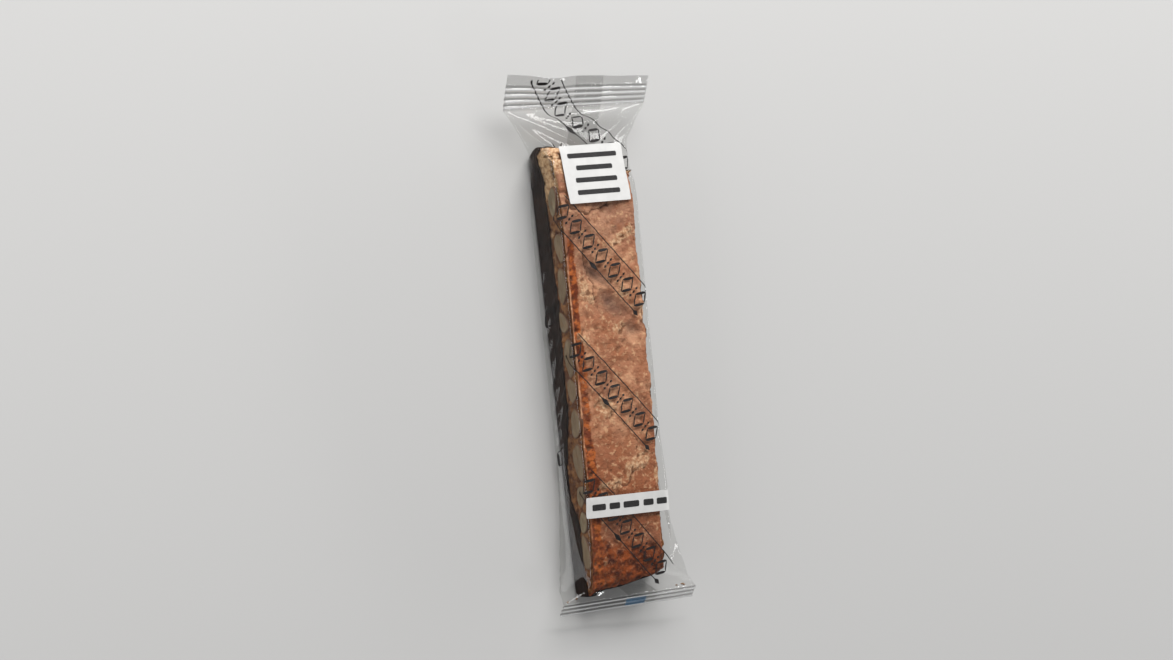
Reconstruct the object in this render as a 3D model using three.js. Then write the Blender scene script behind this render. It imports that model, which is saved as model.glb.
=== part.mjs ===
// A chocolate-dipped almond biscotti sealed in a clear flow-wrapped pack, with its two stickers.
// The pack lies on its back, crust side up. Units are millimetres: X runs across the pack,
// Y along it from the foot seal to the head seal, and Z up from the surface that it lies on.
// The origin is under the middle of the pack.

import * as THREE from 'three';
import { mergeVertices } from 'three/addons/utils/BufferGeometryUtils.js';

// ---- Driving dimensions ----

const PACK_LENGTH = 165.0; // between the free edges of the two seals
const FLAT_HALF_WIDTH = 25.1; // half of the film tube's width where it is pressed flat
const BODY_HALF_WIDTH = 14.3; // half of the tube's width where it is drawn round the biscotti
const SEAL_THICKNESS = 0.7;
const FILM_CORNER_RADIUS = 2.6; // of the film round the biscotti's long edges

// Head seal: bent up towards the crust side, with a wave in it, a flat margin and ridges.
const HEAD_SEAL_LENGTH = 8.9; // measured along Y
const HEAD_SEAL_BASE_HEIGHT = 8.7;
const HEAD_SEAL_EDGE_HEIGHT = 13.5;
const HEAD_MARGIN = 2.7; // unridged strip at the free edge, along Y
const HEAD_RIDGES = 4;
const HEAD_EDGE_SKEW = -0.05; // the free edge leans back towards +X
const WAVE_CENTRE = -10; // across the head seal
const WAVE_WIDTH = 6.5;
const WAVE_RISE = 2.0;
const WAVE_SHORTENING = 1.3;

// Foot seal: shorter, and bent down towards the surface that the pack lies on.
const FOOT_SEAL_LENGTH = 3.6;
const FOOT_SEAL_BASE_HEIGHT = 10.6;
const FOOT_SEAL_EDGE_HEIGHT = 7.4;
const FOOT_HALF_WIDTH = 22.8; // its ends curl in a little
const FOOT_TILT = 0.08; // its +X end stands higher
const FOOT_RIDGES = 3;

const FULL_HEIGHT = 5; // half-height from which only the sides of a section tilt
const RIDGE_RELIEF = 0.28;
const SEGMENTS_PER_RIDGE = 4;

// Stickers: paper labels on the crust side of the film.
const LABEL_THICKNESS = 0.35;
const LABEL_GAP = 0.3; // clearance between a sticker and the film below it
const UPPER_LABEL = { name: 'label_upper', width: 21.4, length: 17.9, x: 0.5, y: 50.8, turn: 0 };
const LOWER_LABEL = { name: 'label_lower', width: 31.6, length: 6.3, x: 1.7, y: -50.8, turn: -0.03 };
const LABEL_SEGMENT = 1.5; // longest facet along a sticker

// ---- Cross-sections of the filled pack, from the foot to the head ----
// Each section is a rounded box from sole to crown whose sides may stand out to a ridge.
//   y, skew     place along the pack, and how far that slides for each millimetre of x
//   sole, crown heights of the film under and over the biscotti
//   edge        half-width at sole and crown
//   ridge, side height and half-width of the ridge along the sides
//   tilt        how much higher the ridge is for each millimetre of x
//   segments    facets between this section and the next

const FOOT_EDGE_Y = -PACK_LENGTH / 2;
const FOOT_BASE_Y = FOOT_EDGE_Y + FOOT_SEAL_LENGTH;
const HEAD_EDGE_Y = PACK_LENGTH / 2 + HEAD_EDGE_SKEW * FLAT_HALF_WIDTH;
const HEAD_BASE_Y = HEAD_EDGE_Y - HEAD_SEAL_LENGTH;
const HEAD_MARGIN_Y = HEAD_EDGE_Y - HEAD_MARGIN;

function sealSection(y, height, halfWidth, tilt, skew, segments) {
  const half = SEAL_THICKNESS / 2;
  return {
    y, skew, tilt, segments,
    sole: height - half, crown: height + half, ridge: height,
    edge: halfWidth, side: halfWidth,
  };
}

function bodySection(y, values) {
  return { y, skew: 0, sole: 0, edge: BODY_HALF_WIDTH, tilt: 0, ...values };
}

const headRise = HEAD_SEAL_EDGE_HEIGHT - HEAD_SEAL_BASE_HEIGHT;
const headMarginHeight = HEAD_SEAL_EDGE_HEIGHT - headRise * HEAD_MARGIN / HEAD_SEAL_LENGTH;

const SECTIONS = [
  sealSection(FOOT_EDGE_Y, FOOT_SEAL_EDGE_HEIGHT, FOOT_HALF_WIDTH, FOOT_TILT, 0,
    FOOT_RIDGES * SEGMENTS_PER_RIDGE),
  sealSection(FOOT_BASE_Y, FOOT_SEAL_BASE_HEIGHT, FOOT_HALF_WIDTH, FOOT_TILT, 0, 5),
  bodySection(-75.5, { skew: 0.16, sole: 0.8, ridge: 7.6, crown: 11.4, side: 21.6, tilt: 0.14, segments: 3 }),
  bodySection(-67.5, { ridge: 6.6, crown: 12.9, side: 19.6, tilt: 0.2, segments: 6 }),
  bodySection(-48.5, { ridge: 5.4, crown: 14.9, side: 16.8, tilt: 0.16, segments: 5 }),
  bodySection(-30.5, { ridge: 4.2, crown: 15.2, side: 16.2, tilt: 0.04, segments: 8 }),
  bodySection(4.5, { ridge: 3.8, crown: 16.3, side: 16.0, segments: 8 }),
  bodySection(42.5, { ridge: 4.2, crown: 17.4, side: 15.8, segments: 6 }),
  bodySection(59.8, { sole: 2.2, ridge: 8.4, crown: 14.6, side: 15.4, segments: 9 }),
  sealSection(HEAD_BASE_Y, HEAD_SEAL_BASE_HEIGHT, FLAT_HALF_WIDTH, 0, 0,
    HEAD_RIDGES * SEGMENTS_PER_RIDGE),
  sealSection(HEAD_MARGIN_Y, headMarginHeight, FLAT_HALF_WIDTH, 0, HEAD_EDGE_SKEW * 0.7, 3),
  sealSection(HEAD_EDGE_Y, HEAD_SEAL_EDGE_HEIGHT, FLAT_HALF_WIDTH, 0, HEAD_EDGE_SKEW, 0),
];

const SECTION_VALUES = ['y', 'skew', 'sole', 'crown', 'ridge', 'edge', 'side', 'tilt'];

function mixSections(a, b, t) {
  const mixed = {};
  for (const value of SECTION_VALUES) mixed[value] = THREE.MathUtils.lerp(a[value], b[value], t);
  return mixed;
}

// The section at any y between the free edges.
function sectionAt(y) {
  let index = SECTIONS.findLastIndex((section) => section.y <= y);
  index = THREE.MathUtils.clamp(index, 0, SECTIONS.length - 2);
  const a = SECTIONS[index];
  const b = SECTIONS[index + 1];
  return mixSections(a, b, THREE.MathUtils.clamp((y - a.y) / (b.y - a.y), 0, 1));
}

// ---- Relief of the seals ----

function ridgeRelief(y) {
  const footPhase = (y - FOOT_EDGE_Y) / FOOT_SEAL_LENGTH * FOOT_RIDGES;
  const headPhase = (y - HEAD_BASE_Y) / (HEAD_MARGIN_Y - HEAD_BASE_Y) * HEAD_RIDGES;
  if (footPhase < FOOT_RIDGES) return RIDGE_RELIEF * Math.sin(2 * Math.PI * footPhase);
  if (headPhase > 0 && headPhase < HEAD_RIDGES) return RIDGE_RELIEF * Math.sin(2 * Math.PI * headPhase);
  return 0;
}

// The wave across the head seal grows from its base to its free edge.
function headWave(x, y) {
  const growth = THREE.MathUtils.clamp((y - HEAD_BASE_Y) / HEAD_SEAL_LENGTH, 0, 1);
  return growth * Math.exp(-(((x - WAVE_CENTRE) / WAVE_WIDTH) ** 2));
}

// ---- The film's surface ----

// Moves a point of a section's upright rounded box, |u| <= edge and |w| <= half height, to its
// place in the pack: the sides stand out to the ridge, and flat sections tilt as a whole.
function placed(section, u, w) {
  const halfHeight = (section.crown - section.sole) / 2;
  const middle = (section.crown + section.sole) / 2;
  const sideShare = Math.max(0, 1 - Math.abs(w) / halfHeight);
  const tiltShare = 1 - (1 - sideShare) * Math.min(1, halfHeight / FULL_HEIGHT);
  const x = u * (1 + (section.side / section.edge - 1) * sideShare);
  const y = section.y + section.skew * x;
  const z = middle + w + (section.ridge - middle) * sideShare + section.tilt * x * tiltShare;
  const wave = headWave(x, y);
  return new THREE.Vector3(x, y - WAVE_SHORTENING * wave, z + ridgeRelief(section.y) + WAVE_RISE * wave);
}

// A point of the film, from a point of the square whose sides are |across| = 1 and |up| = 1.
function filmPoint(section, across, up) {
  const halfHeight = (section.crown - section.sole) / 2;
  const radius = Math.min(FILM_CORNER_RADIUS, 0.9 * halfHeight);
  const core = new THREE.Vector2(section.edge - radius, halfHeight - radius);
  const sharp = new THREE.Vector2(across * section.edge, up * halfHeight);
  const centre = sharp.clone().clamp(core.clone().negate(), core);
  const outward = sharp.sub(centre).setLength(radius);
  return placed(section, centre.x + outward.x, centre.y + outward.y);
}

// A point at a height above the film's crust side, from its distance round the film from x = 0.
function skinPoint(section, distance, height) {
  const halfHeight = (section.crown - section.sole) / 2;
  const flatReach = section.edge - FILM_CORNER_RADIUS;
  const past = Math.abs(distance) - flatReach;
  const angle = THREE.MathUtils.clamp(past / FILM_CORNER_RADIUS, 0, Math.PI / 2);
  const reach = FILM_CORNER_RADIUS + height;
  const down = Math.max(0, past - FILM_CORNER_RADIUS * Math.PI / 2);
  const u = Math.min(Math.abs(distance), flatReach) + reach * Math.sin(angle);
  const w = halfHeight - FILM_CORNER_RADIUS + reach * Math.cos(angle) - down;
  return placed(section, Math.sign(distance) * u, w);
}

// ---- The pack ----

const ACROSS_SEGMENTS = 14;
const UP_SEGMENTS = 5;

// One section for each ring of facets, from the foot's free edge to the head's.
function ringSections() {
  const rings = [];
  for (let i = 0; i < SECTIONS.length - 1; i += 1) {
    const { segments } = SECTIONS[i];
    for (let j = 0; j < segments; j += 1) rings.push(mixSections(SECTIONS[i], SECTIONS[i + 1], j / segments));
  }
  rings.push(SECTIONS.at(-1));
  return rings;
}

function packGeometry() {
  const rings = ringSections();
  const alongSegments = rings.length - 1;
  const box = new THREE.BoxGeometry(2, 2, 2, ACROSS_SEGMENTS, alongSegments, UP_SEGMENTS);
  const position = box.getAttribute('position');
  for (let i = 0; i < position.count; i += 1) {
    const across = Math.sin(position.getX(i) * Math.PI / 2); // facets crowd towards the long edges
    const ring = rings[Math.round((position.getY(i) + 1) / 2 * alongSegments)];
    const point = filmPoint(ring, across, position.getZ(i));
    position.setXYZ(i, point.x, point.y, point.z);
  }
  return closed(box);
}

// Merges the box's split corners, which leaves one closed skin.
function closed(geometry) {
  geometry.deleteAttribute('normal');
  geometry.deleteAttribute('uv');
  const merged = mergeVertices(geometry);
  merged.computeVertexNormals();
  return merged;
}

// ---- The stickers ----

function labelGeometry({ width, length, x, y, turn }) {
  const box = new THREE.BoxGeometry(width, length, LABEL_THICKNESS,
    Math.ceil(width / LABEL_SEGMENT), Math.ceil(length / LABEL_SEGMENT), 1);
  box.rotateZ(turn);
  const position = box.getAttribute('position');
  for (let i = 0; i < position.count; i += 1) {
    const height = LABEL_GAP + LABEL_THICKNESS / 2 + position.getZ(i);
    const point = skinPoint(sectionAt(y + position.getY(i)), x + position.getX(i), height);
    position.setXYZ(i, point.x, point.y, point.z);
  }
  return closed(box);
}

// ---- Assembly ----

const film = new THREE.MeshStandardMaterial({
  color: 0xc9c5c0, roughness: 0.12, metalness: 0, transparent: true, opacity: 0.35,
});
const labelPaper = new THREE.MeshStandardMaterial({ color: 0xe6e4df, roughness: 0.7, metalness: 0 });

function part(name, geometry, material) {
  const mesh = new THREE.Mesh(geometry, material);
  mesh.name = name;
  return mesh;
}

const wrappedBiscotti = new THREE.Group();
wrappedBiscotti.add(part('film_pack', packGeometry(), film));
for (const label of [UPPER_LABEL, LOWER_LABEL]) {
  wrappedBiscotti.add(part(label.name, labelGeometry(label), labelPaper.clone()));
}

export default wrappedBiscotti;
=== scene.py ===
"""Looks of an almond biscotti in a clear flow-wrapped pack, lying on its back, crust side up.

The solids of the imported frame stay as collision. This script puts the real things over them: the
film with its seals, the print, the stickers, and the chocolate-dipped biscotti inside. Shapes are
worked out in millimetres, in the frame's own axes, and turned into metres when they become meshes.
"""

import math

import bpy
import numpy as np
from mathutils import Matrix, Vector

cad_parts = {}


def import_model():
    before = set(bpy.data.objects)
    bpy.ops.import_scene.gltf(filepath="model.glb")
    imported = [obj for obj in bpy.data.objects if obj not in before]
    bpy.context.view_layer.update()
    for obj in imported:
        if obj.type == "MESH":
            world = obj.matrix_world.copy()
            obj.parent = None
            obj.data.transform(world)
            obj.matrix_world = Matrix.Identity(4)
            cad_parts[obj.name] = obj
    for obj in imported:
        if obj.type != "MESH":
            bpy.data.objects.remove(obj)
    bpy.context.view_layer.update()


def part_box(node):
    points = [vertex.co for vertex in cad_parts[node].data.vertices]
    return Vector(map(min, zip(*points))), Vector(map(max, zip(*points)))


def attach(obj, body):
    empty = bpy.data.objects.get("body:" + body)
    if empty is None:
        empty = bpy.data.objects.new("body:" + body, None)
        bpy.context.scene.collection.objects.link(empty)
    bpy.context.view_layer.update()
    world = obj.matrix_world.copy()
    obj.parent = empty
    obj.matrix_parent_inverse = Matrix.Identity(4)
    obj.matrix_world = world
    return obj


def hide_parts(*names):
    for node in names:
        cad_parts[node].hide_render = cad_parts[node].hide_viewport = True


MM = 0.001


# ---------------------------------------------------------------- sizes, in millimetres

# The film pack. Its sections follow those of the film_pack solid, and its reach comes from the frame.
BODY_HALF_WIDTH = 14.3
FILM_CORNER_RADIUS = 2.6
SEAL_GAP = 0.12  # between the two films of a seal, as drawn

HEAD_SEAL_LENGTH = 8.9
HEAD_SEAL_BASE_HEIGHT = 8.7
HEAD_SEAL_EDGE_HEIGHT = 13.5
HEAD_MARGIN = 2.7
HEAD_RIDGES = 4
HEAD_EDGE_SKEW = -0.05
WAVE_CENTRE = -10.0
WAVE_WIDTH = 6.5
WAVE_RISE = 2.0
WAVE_SHORTENING = 1.3

FOOT_SEAL_LENGTH = 3.6
FOOT_SEAL_BASE_HEIGHT = 10.6
FOOT_SEAL_EDGE_HEIGHT = 7.4
FOOT_HALF_WIDTH = 22.8
FOOT_TILT = 0.08
FOOT_RIDGES = 3

FULL_HEIGHT = 5.0
RIDGE_RELIEF = 0.3
FILM_SOLE = 0.4  # the film's back lies this far above the floor, over the fin seal
SEAL_WAVES = 0.9  # how far the seals wave up and down, and how long the waves are
SEAL_WAVE_SIZE = 9.0
FLANK_START = 0.76  # the film's sides fall straight over this share of their height, then flare out
RIDGE_HOLD = 0.99  # the settled ridge keeps this share of the form's reach
PINCH = dict(y=-25.3, width=2.2, depth=1.7)  # a kink in the -X ridge
BESIDE_FOOT = (-77.0, -71.0)  # from the first y to the second, the sides come to be held out
BESIDE_HEAD = (62.0, 56.0)

AROUND_CELLS = 128
FOOT_RINGS = 18
BODY_RINGS = 200
HEAD_RINGS = 37

# How the film settles: once on every second point, then on all of them.
# Each link: rings apart, cells apart, stiffness from 0 to 1. The longer ones resist bending.
LINKS = (
    (1, 0, 1.0), (0, 1, 1.0), (1, 1, 0.35), (1, -1, 0.35),
    (2, 0, 0.12), (0, 2, 0.12), (4, 0, 0.05), (0, 4, 0.05),
)
COARSE_PASS = dict(seed=5, crumple_size=8.0, crumple_depth=0.5, steps=170, sweeps=6)
FINE_PASS = dict(seed=9, crumple_size=2.6, crumple_depth=0.12, steps=45, sweeps=4)
KEPT_SPEED = 0.9
SHAPE_MEMORY = 0.012  # how far the film goes back towards its first form at each step
PRESSURE = 0.003
FILM_WEIGHT = 0.003
FILM_MARGIN = 0.45  # the film stays this far off the biscotti's plain form
SIDE_MARGIN = 0.2  # and this far off the chocolate at its sides
LABEL_STIFFENING = 6  # smoothing rounds a step, where a sticker backs the film
LABEL_BACKING = 0.5  # and this far past the sticker's edge
SMOOTHING = 0.5  # how far each such round moves a point towards the mean of its neighbours
CALM_FOOT = (-16.0, -52.0)  # from the first y to the second, the film grows calm
CALM_STIFFENING = 0.12  # there it gets this much of a sticker's stiffening,
CALM_CRUMPLES = 0.9  # loses this much of its crumples,
CALM_MEMORY = 7.0  # and its memory of its first form grows by this many times

# The fin seal: a folded strip glued along the back of the film.
FIN_START = -0.5
FIN_WIDTH = 10.0
FIN_MARGIN = 0.1  # at the film's two ends
FIN_LIFT = 0.14
FIN_ROOT = 0.1  # it rises to its lift over this share of its width
FIN_ROOT_LIFT = 0.02
FIN_RIPPLE = 0.04  # how far its loose edge ripples
FIN_RIPPLE_TURN = (1.3, 3.0)  # its turn in radians: for each millimetre along, and once across
FIN_CELLS = (15, 420)

# Stickers: middle, size and turn in the film's own plane, close to those of their solids.
UPPER_LABEL = dict(x=0.5, y=50.8, width=21.4, length=17.9, turn=0.0)
LOWER_LABEL = dict(x=2.0, y=-50.8, width=32.2, length=6.3, turn=-0.03)
LABEL_LIFT = 0.1
LABEL_THICKNESS = 0.12
LABEL_CORNER = 0.25
LABEL_CELL = 0.6
SHARP_ANGLE = math.radians(50.0)
INK_LIFT = 0.04
UPPER_LINES = ((17.0, 5.7), (12.6, 1.9), (14.4, -1.9), (14.8, -5.7))  # width and place of each bar
UPPER_LINE_HEIGHT = 1.5
LOWER_WORDS = ((-12.3, 4.8), (-6.7, 3.8), (-0.7, 5.7), (5.6, 3.7), (10.6, 3.9))  # place and width
LOWER_LINE_HEIGHT = 1.9
BAR_END = 0.3  # how far a bar's ends are rounded

# The print: slanting ribbons of lozenges between two thin rules, in two columns round the film.
RIBBON_STARTS = (83.4, 41.9, 0.4, -41.1)
RIBBON_FALL = (28.0, -33.0)
RIBBON_START_X = (-15.0, -52.0)
FLANK_BARE = (-32.5, -17.5)  # here the ribbons break off, for one lozenge each
FLANK_LOZENGE = (-23.6, -32.6)  # its place round the film, and along it from a ribbon's start
FLANK_LOZENGE_SLANT = (0.5, 0.87)
FLANK_LOZENGE_SIZE = (3.4, 2.2)  # half-lengths along and across its slant
LOZENGES = 7
LOZENGE_SIZE = (3.0, 2.0)  # half-lengths across and along the ribbon
LOZENGE_STROKES = (0.85, 0.42, 0.85, 0.42)
SPOT_SIZE = 0.62
SPOT_WIDTH = 0.8
RULE_BEADS = ((0.03, 1.3), (0.5, 2.4), (0.97, 1.3))  # on the lower rule: place and half-length
BEAD_WIDTH = 1.5
SPOT_OFFSETS = (-1.5, 0.0, 1.5)
RULE_OFFSET = 4.2
RULE_STROKE = 0.34
BACK_PRINT_END = 62.0
PRINT_MARGIN = 0.3
STROKE_STEP = 0.5

# The eye mark, which a wrapping machine steers by: across the foot seal, and along from its edge.
EYE_MARK = dict(across=(-1.0, 5.8), along=(0.5, 2.7), cells=(12, 9))

# The biscotti inside.
BISCOTTI_HALF_WIDTH = 13.4
BISCOTTI_BASE = 0.95
CRUST_GAP = 0.55  # between the crust's plain form and the film's crown
# Its two ends, as x and y: slanting, with rounded corners.
FOOT_OUTLINE = (
    (-13.4, -77.2), (-10.5, -77.3), (-7.0, -75.9), (-1.0, -75.7), (3.5, -74.9), (10.0, -74.0),
    (13.4, -73.0),
)
HEAD_OUTLINE = (
    (-13.4, 58.4), (-11.8, 60.4), (-8.5, 60.1), (-2.0, 57.9), (5.0, 56.4), (10.5, 54.7), (13.4, 52.0),
)
FOOT_END_Y = -75.2
HEAD_END_Y = 57.6
HEAD_END_RADIUS = 5.5
FOOT_END_RADIUS = 2.8
BASE_END_RADIUS = 2.0
CRUST_EDGE_RADIUS = 1.5
BASE_EDGE_RADIUS = 0.4
BISCOTTI_HEIGHT = 16.0  # about, for the number of its cells
BISCOTTI_CELL = 0.4
CREST_LIMIT = 0.35  # the crust's relief stands no further out than this

# Relief and patches of the crust: x, y, radius across, radius along, turn, and strength.
DENTS = (
    (-3.5, 20.5, 2.6, 6.5, 0.9, 1.0), (1.0, 11.0, 3.0, 7.0, 1.0, 1.0),
    (8.5, 3.0, 4.0, 2.5, 0.3, 0.8), (3.0, 40.0, 5.0, 3.0, -0.6, 0.4),
    (-7.0, 33.0, 3.0, 5.0, 0.4, 0.45), (-4.0, -14.0, 4.0, 5.0, 0.2, 0.4),
    (7.0, -23.0, 5.0, 3.0, 0.2, 0.4), (-3.0, -58.0, 6.0, 4.0, 0.0, 0.5),
    (8.0, -62.0, 3.0, 5.0, 0.3, 0.4),
)
FLAKY_PATCHES = (
    (-2.5, -21.5, 5.4, 4.2, -0.6, 1.0), (6.5, -38.0, 6.5, 3.4, 0.4, 1.0),
    (-7.5, 15.0, 3.4, 7.0, 0.3, 0.8), (7.0, 31.0, 6.0, 2.4, 0.5, 0.9),
    (12.2, 7.5, 1.8, 5.5, 0.0, 1.0), (-9.5, -67.0, 3.0, 3.5, 0.0, 0.4),
    (-3.0, -44.0, 8.0, 2.6, 0.2, 0.8), (-9.0, 55.0, 3.5, 5.0, 0.0, 1.0),
    (12.0, -43.0, 1.8, 5.0, 0.0, 1.0), (1.0, 3.5, 5.0, 2.6, -0.5, 0.7),
    (-10.0, 4.0, 1.8, 5.0, 0.0, 0.7), (6.0, 14.0, 3.0, 2.2, 0.2, 0.6),
)

# Almonds cut through at the -X face: y, z, length, width and turn.
NEAR_ALMONDS = (
    (43.0, 11.6, 9.0, 4.8, 0.15), (29.1, 12.8, 9.6, 5.0, -0.1), (17.3, 12.0, 11.0, 5.4, 0.1),
    (6.4, 10.4, 7.2, 4.6, -0.4), (-4.6, 11.3, 11.8, 5.6, 0.05), (-14.5, 11.0, 7.6, 5.4, -0.15),
    (-24.5, 11.2, 9.4, 5.6, 0.1), (-36.3, 10.7, 12.0, 5.8, -0.06), (-46.6, 9.8, 7.2, 4.8, 0.35),
    (-54.6, 9.6, 6.6, 4.6, 0.15), (-64.2, 8.9, 11.0, 5.0, -0.06),
)

# Almonds at the +X face: their number, and between which values the rest is drawn.
FAR_ALMOND_COUNT = 11
FAR_ALMOND_SHIFT = (-2.0, 2.0)
FAR_ALMOND_LENGTH = (6.0, 11.5)
FAR_ALMOND_WIDTH = (4.2, 5.6)
FAR_ALMOND_DROP = (0.0, 2.0)
FAR_ALMOND_TURN = (-0.4, 0.4)
FAR_ALMOND_COVER = 1.6  # how far below the crust's top an undropped almond's upper edge lies
ALMOND_END_MARGIN = 8.0

# A cut almond's own form: its rings as shares of its outline, and their depths as shares of its own.
ALMOND_RINGS = (0.25, 0.45, 0.62, 0.75, 0.85, 0.92, 0.97, 1.0, 1.0, 0.9)
ALMOND_RING_DEPTHS = (0.0, 0.0, 0.01, 0.02, 0.04, 0.08, 0.14, 0.3, 0.8, 1.0)
ALMOND_CELLS = 48
ALMOND_WAVES = ((0.05, 2), (0.07, 3), (0.03, 5))  # of the outline: height, and how many go round
ALMOND_POINT = 0.32  # how much slimmer an almond may be at one end
ALMOND_DEPTH = 1.4
ALMOND_PROUD = (-0.22, 0.08)  # how far one stands out of the plain cut face, at least and at most
ALMOND_SPLIT = dict(width=0.16, reach=0.36, depth=0.18)
ALMOND_SEED = 17

# A crack in the -X face near the head end.
END_CRACK = dict(y=54.0, z=12.6, length=4.4, width=0.8)

# The chocolate: how high it reaches at the two cut faces, as y and height.
NEAR_CHOCOLATE = (
    (-78.0, 7.6), (-58.0, 7.0), (-43.0, 2.8), (-17.0, 7.2),
    (12.0, 9.0), (43.0, 7.6), (50.0, 7.9), (58.0, 5.0),
)
FAR_CHOCOLATE = ((-78.0, 7.5), (-50.0, 6.0), (-20.0, 8.4), (15.0, 6.8), (40.0, 8.0), (60.0, 4.0))
CHOCOLATE_THICKNESS = 0.45
CHOCOLATE_DEPTH = 0.35  # how far it reaches into the biscotti
CHOCOLATE_BRIM = 0.8  # this far below its brim it has its full thickness
BRIM_THICKNESS = 0.25  # the share of that at the brim itself
CHOCOLATE_WAVES = (0.6, 7.0)  # how far the brim wavers, and over what length
CHOCOLATE_LUMPS = (0.25, 5.0)  # how much its thickness varies, and over what length
CHOCOLATE_CELL = 0.6
CHOCOLATE_ROWS = 14

# Loose crumbs in the pack's foot, to either side: how large they are, and where on the film.
CRUMB_COUNT = 6
CRUMB_SIZE = (0.2, 0.42)
CRUMB_ROUND = (24.0, 29.0)
CRUMB_ALONG = (-78.2, -76.4)
CRUMB_GAP = 0.1  # to the film
CRUMB_SEED = 23


# ---------------------------------------------------------------- numbers and noise


def smoothstep(low, high, value):
    """From 0 at low to 1 at high, level at both."""
    t = np.clip((value - low) / (high - low), 0.0, 1.0)
    return t * t * (3.0 - 2.0 * t)


def blended(first, second, share):
    """From the first at share 0 to the second at share 1."""
    return first * (1.0 - share) + second * share


def hashed(ix, iy, iz, seed):
    """A repeatable number from 0 to 1 for every whole-numbered lattice point."""
    mask = np.uint64(0xFFFFFFFF)
    h = ix * np.uint64(374761393) + iy * np.uint64(668265263) + iz * np.uint64(2246822519)
    h = (h + np.uint64(seed * 3266489917 & 0xFFFFFFFF)) & mask
    h = ((h ^ (h >> np.uint64(13))) * np.uint64(1274126177)) & mask
    h = ((h ^ (h >> np.uint64(16))) * np.uint64(2654435761)) & mask
    return (h ^ (h >> np.uint64(15))).astype(float) / 0xFFFFFFFF


def value_noise(points, size, seed):
    """Smooth noise from -1 to 1 whose lumps are about `size` across."""
    scaled = np.asarray(points, float) / size + 1000.0
    cell = np.floor(scaled)
    f = scaled - cell
    f = f * f * (3.0 - 2.0 * f)
    cell = cell.astype(np.uint64)
    total = np.zeros(len(scaled))
    for corner in range(8):
        dx, dy, dz = corner & 1, corner >> 1 & 1, corner >> 2 & 1
        weight = (
            (f[:, 0] if dx else 1.0 - f[:, 0])
            * (f[:, 1] if dy else 1.0 - f[:, 1])
            * (f[:, 2] if dz else 1.0 - f[:, 2])
        )
        step = [np.uint64(dx), np.uint64(dy), np.uint64(dz)]
        total += weight * hashed(cell[:, 0] + step[0], cell[:, 1] + step[1], cell[:, 2] + step[2], seed)
    return total * 2.0 - 1.0


def layered_noise(points, size, seed, layers):
    """Noise from -1 to 1 in layers, each half as large and half as strong as the one before."""
    weights = [0.5**layer for layer in range(layers)]
    parts = [w * value_noise(points, size * w, seed + layer) for layer, w in enumerate(weights)]
    return sum(parts) / sum(weights)


def pits(u, v, spacing, seed, rarity):
    """Round pits scattered over a plane, one in each cell: 1 in a pit's middle and 0 outside it.

    The higher the rarity, the fewer of them are large.
    """
    depth = np.zeros(len(u))
    cell_u, cell_v = np.floor(u / spacing), np.floor(v / spacing)
    layer = np.uint64(7)
    for du in (-1, 0, 1):
        for dv in (-1, 0, 1):
            key_u = (cell_u + du + 4096).astype(np.uint64)
            key_v = (cell_v + dv + 4096).astype(np.uint64)
            shift_u = hashed(key_u, key_v, layer, seed) - 0.5
            shift_v = hashed(key_u, key_v, layer, seed + 1) - 0.5
            size = hashed(key_u, key_v, layer, seed + 2) ** rarity
            off_u = u / spacing - (cell_u + du + 0.5 + 0.7 * shift_u)
            off_v = v / spacing - (cell_v + dv + 0.5 + 0.7 * shift_v)
            radius = 0.1 + 0.42 * size
            depth = np.maximum(depth, 1.0 - (off_u**2 + off_v**2) / radius**2)
    return np.clip(depth, 0.0, 1.0)


def in_oval(du, dv, turn, size_u, size_v):
    """Steps from a turned oval's middle, in its own axes and as shares of its two sizes."""
    u = (du * math.cos(turn) + dv * math.sin(turn)) / size_u
    v = (dv * math.cos(turn) - du * math.sin(turn)) / size_v
    return u, v


def patches(points, places):
    """The strength, from 0 to 1, of soft oval patches on the crust at each point."""
    total = np.zeros(len(points))
    for x, y, across, along, turn, strength in places:
        u, v = in_oval(points[:, 0] - x, points[:, 1] - y, turn, across, along)
        total = np.maximum(total, strength * np.exp(-(u * u + v * v)))
    return total


# ---------------------------------------------------------------- meshes


def new_mesh(name, points_mm, faces, materials, values=None, material_of_face=None):
    """A mesh object from points in millimetres and faces of three or four corners.

    The values are numbers for each point, by name, for the materials to read.
    """
    mesh = bpy.data.meshes.new(name)
    mesh.from_pydata((np.asarray(points_mm) * MM).tolist(), [], [list(map(int, f)) for f in faces])
    mesh.polygons.foreach_set("use_smooth", [True] * len(mesh.polygons))
    for material in materials:
        mesh.materials.append(material)
    if material_of_face is not None:
        mesh.polygons.foreach_set("material_index", [int(m) for m in material_of_face])
    mesh.update()
    for key, numbers in (values or {}).items():
        layer = mesh.attributes.new(key, "FLOAT", "POINT")
        layer.data.foreach_set("value", np.asarray(numbers, np.float32))
    piece = bpy.data.objects.new(name, mesh)
    bpy.context.scene.collection.objects.link(piece)
    return piece


def unit(vectors):
    """The vectors at length 1; one without length stays as it is."""
    return vectors / np.maximum(np.linalg.norm(vectors, axis=-1, keepdims=True), 1e-9)


def sheet_faces(index):
    """Quads between the neighbours of a grid of point numbers."""
    corners = [index[:-1, :-1], index[1:, :-1], index[1:, 1:], index[:-1, 1:]]
    return np.stack(corners, axis=-1).reshape(-1, 4)


def tube_faces(index):
    """The same on a grid of rings that close round."""
    return sheet_faces(np.concatenate([index, index[:, :1]], axis=1))


def point_normals(points, faces):
    """Unit normals of the points of a quad mesh."""
    quads = np.asarray(faces)
    diagonal_a = points[quads[:, 2]] - points[quads[:, 0]]
    diagonal_b = points[quads[:, 3]] - points[quads[:, 1]]
    face_normals = np.cross(diagonal_a, diagonal_b)
    normals = np.zeros_like(points)
    for corner in range(4):
        np.add.at(normals, quads[:, corner], face_normals)
    return unit(normals)


TOP_SIDE = 5  # box_grid's number for the side at z = 1


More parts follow.
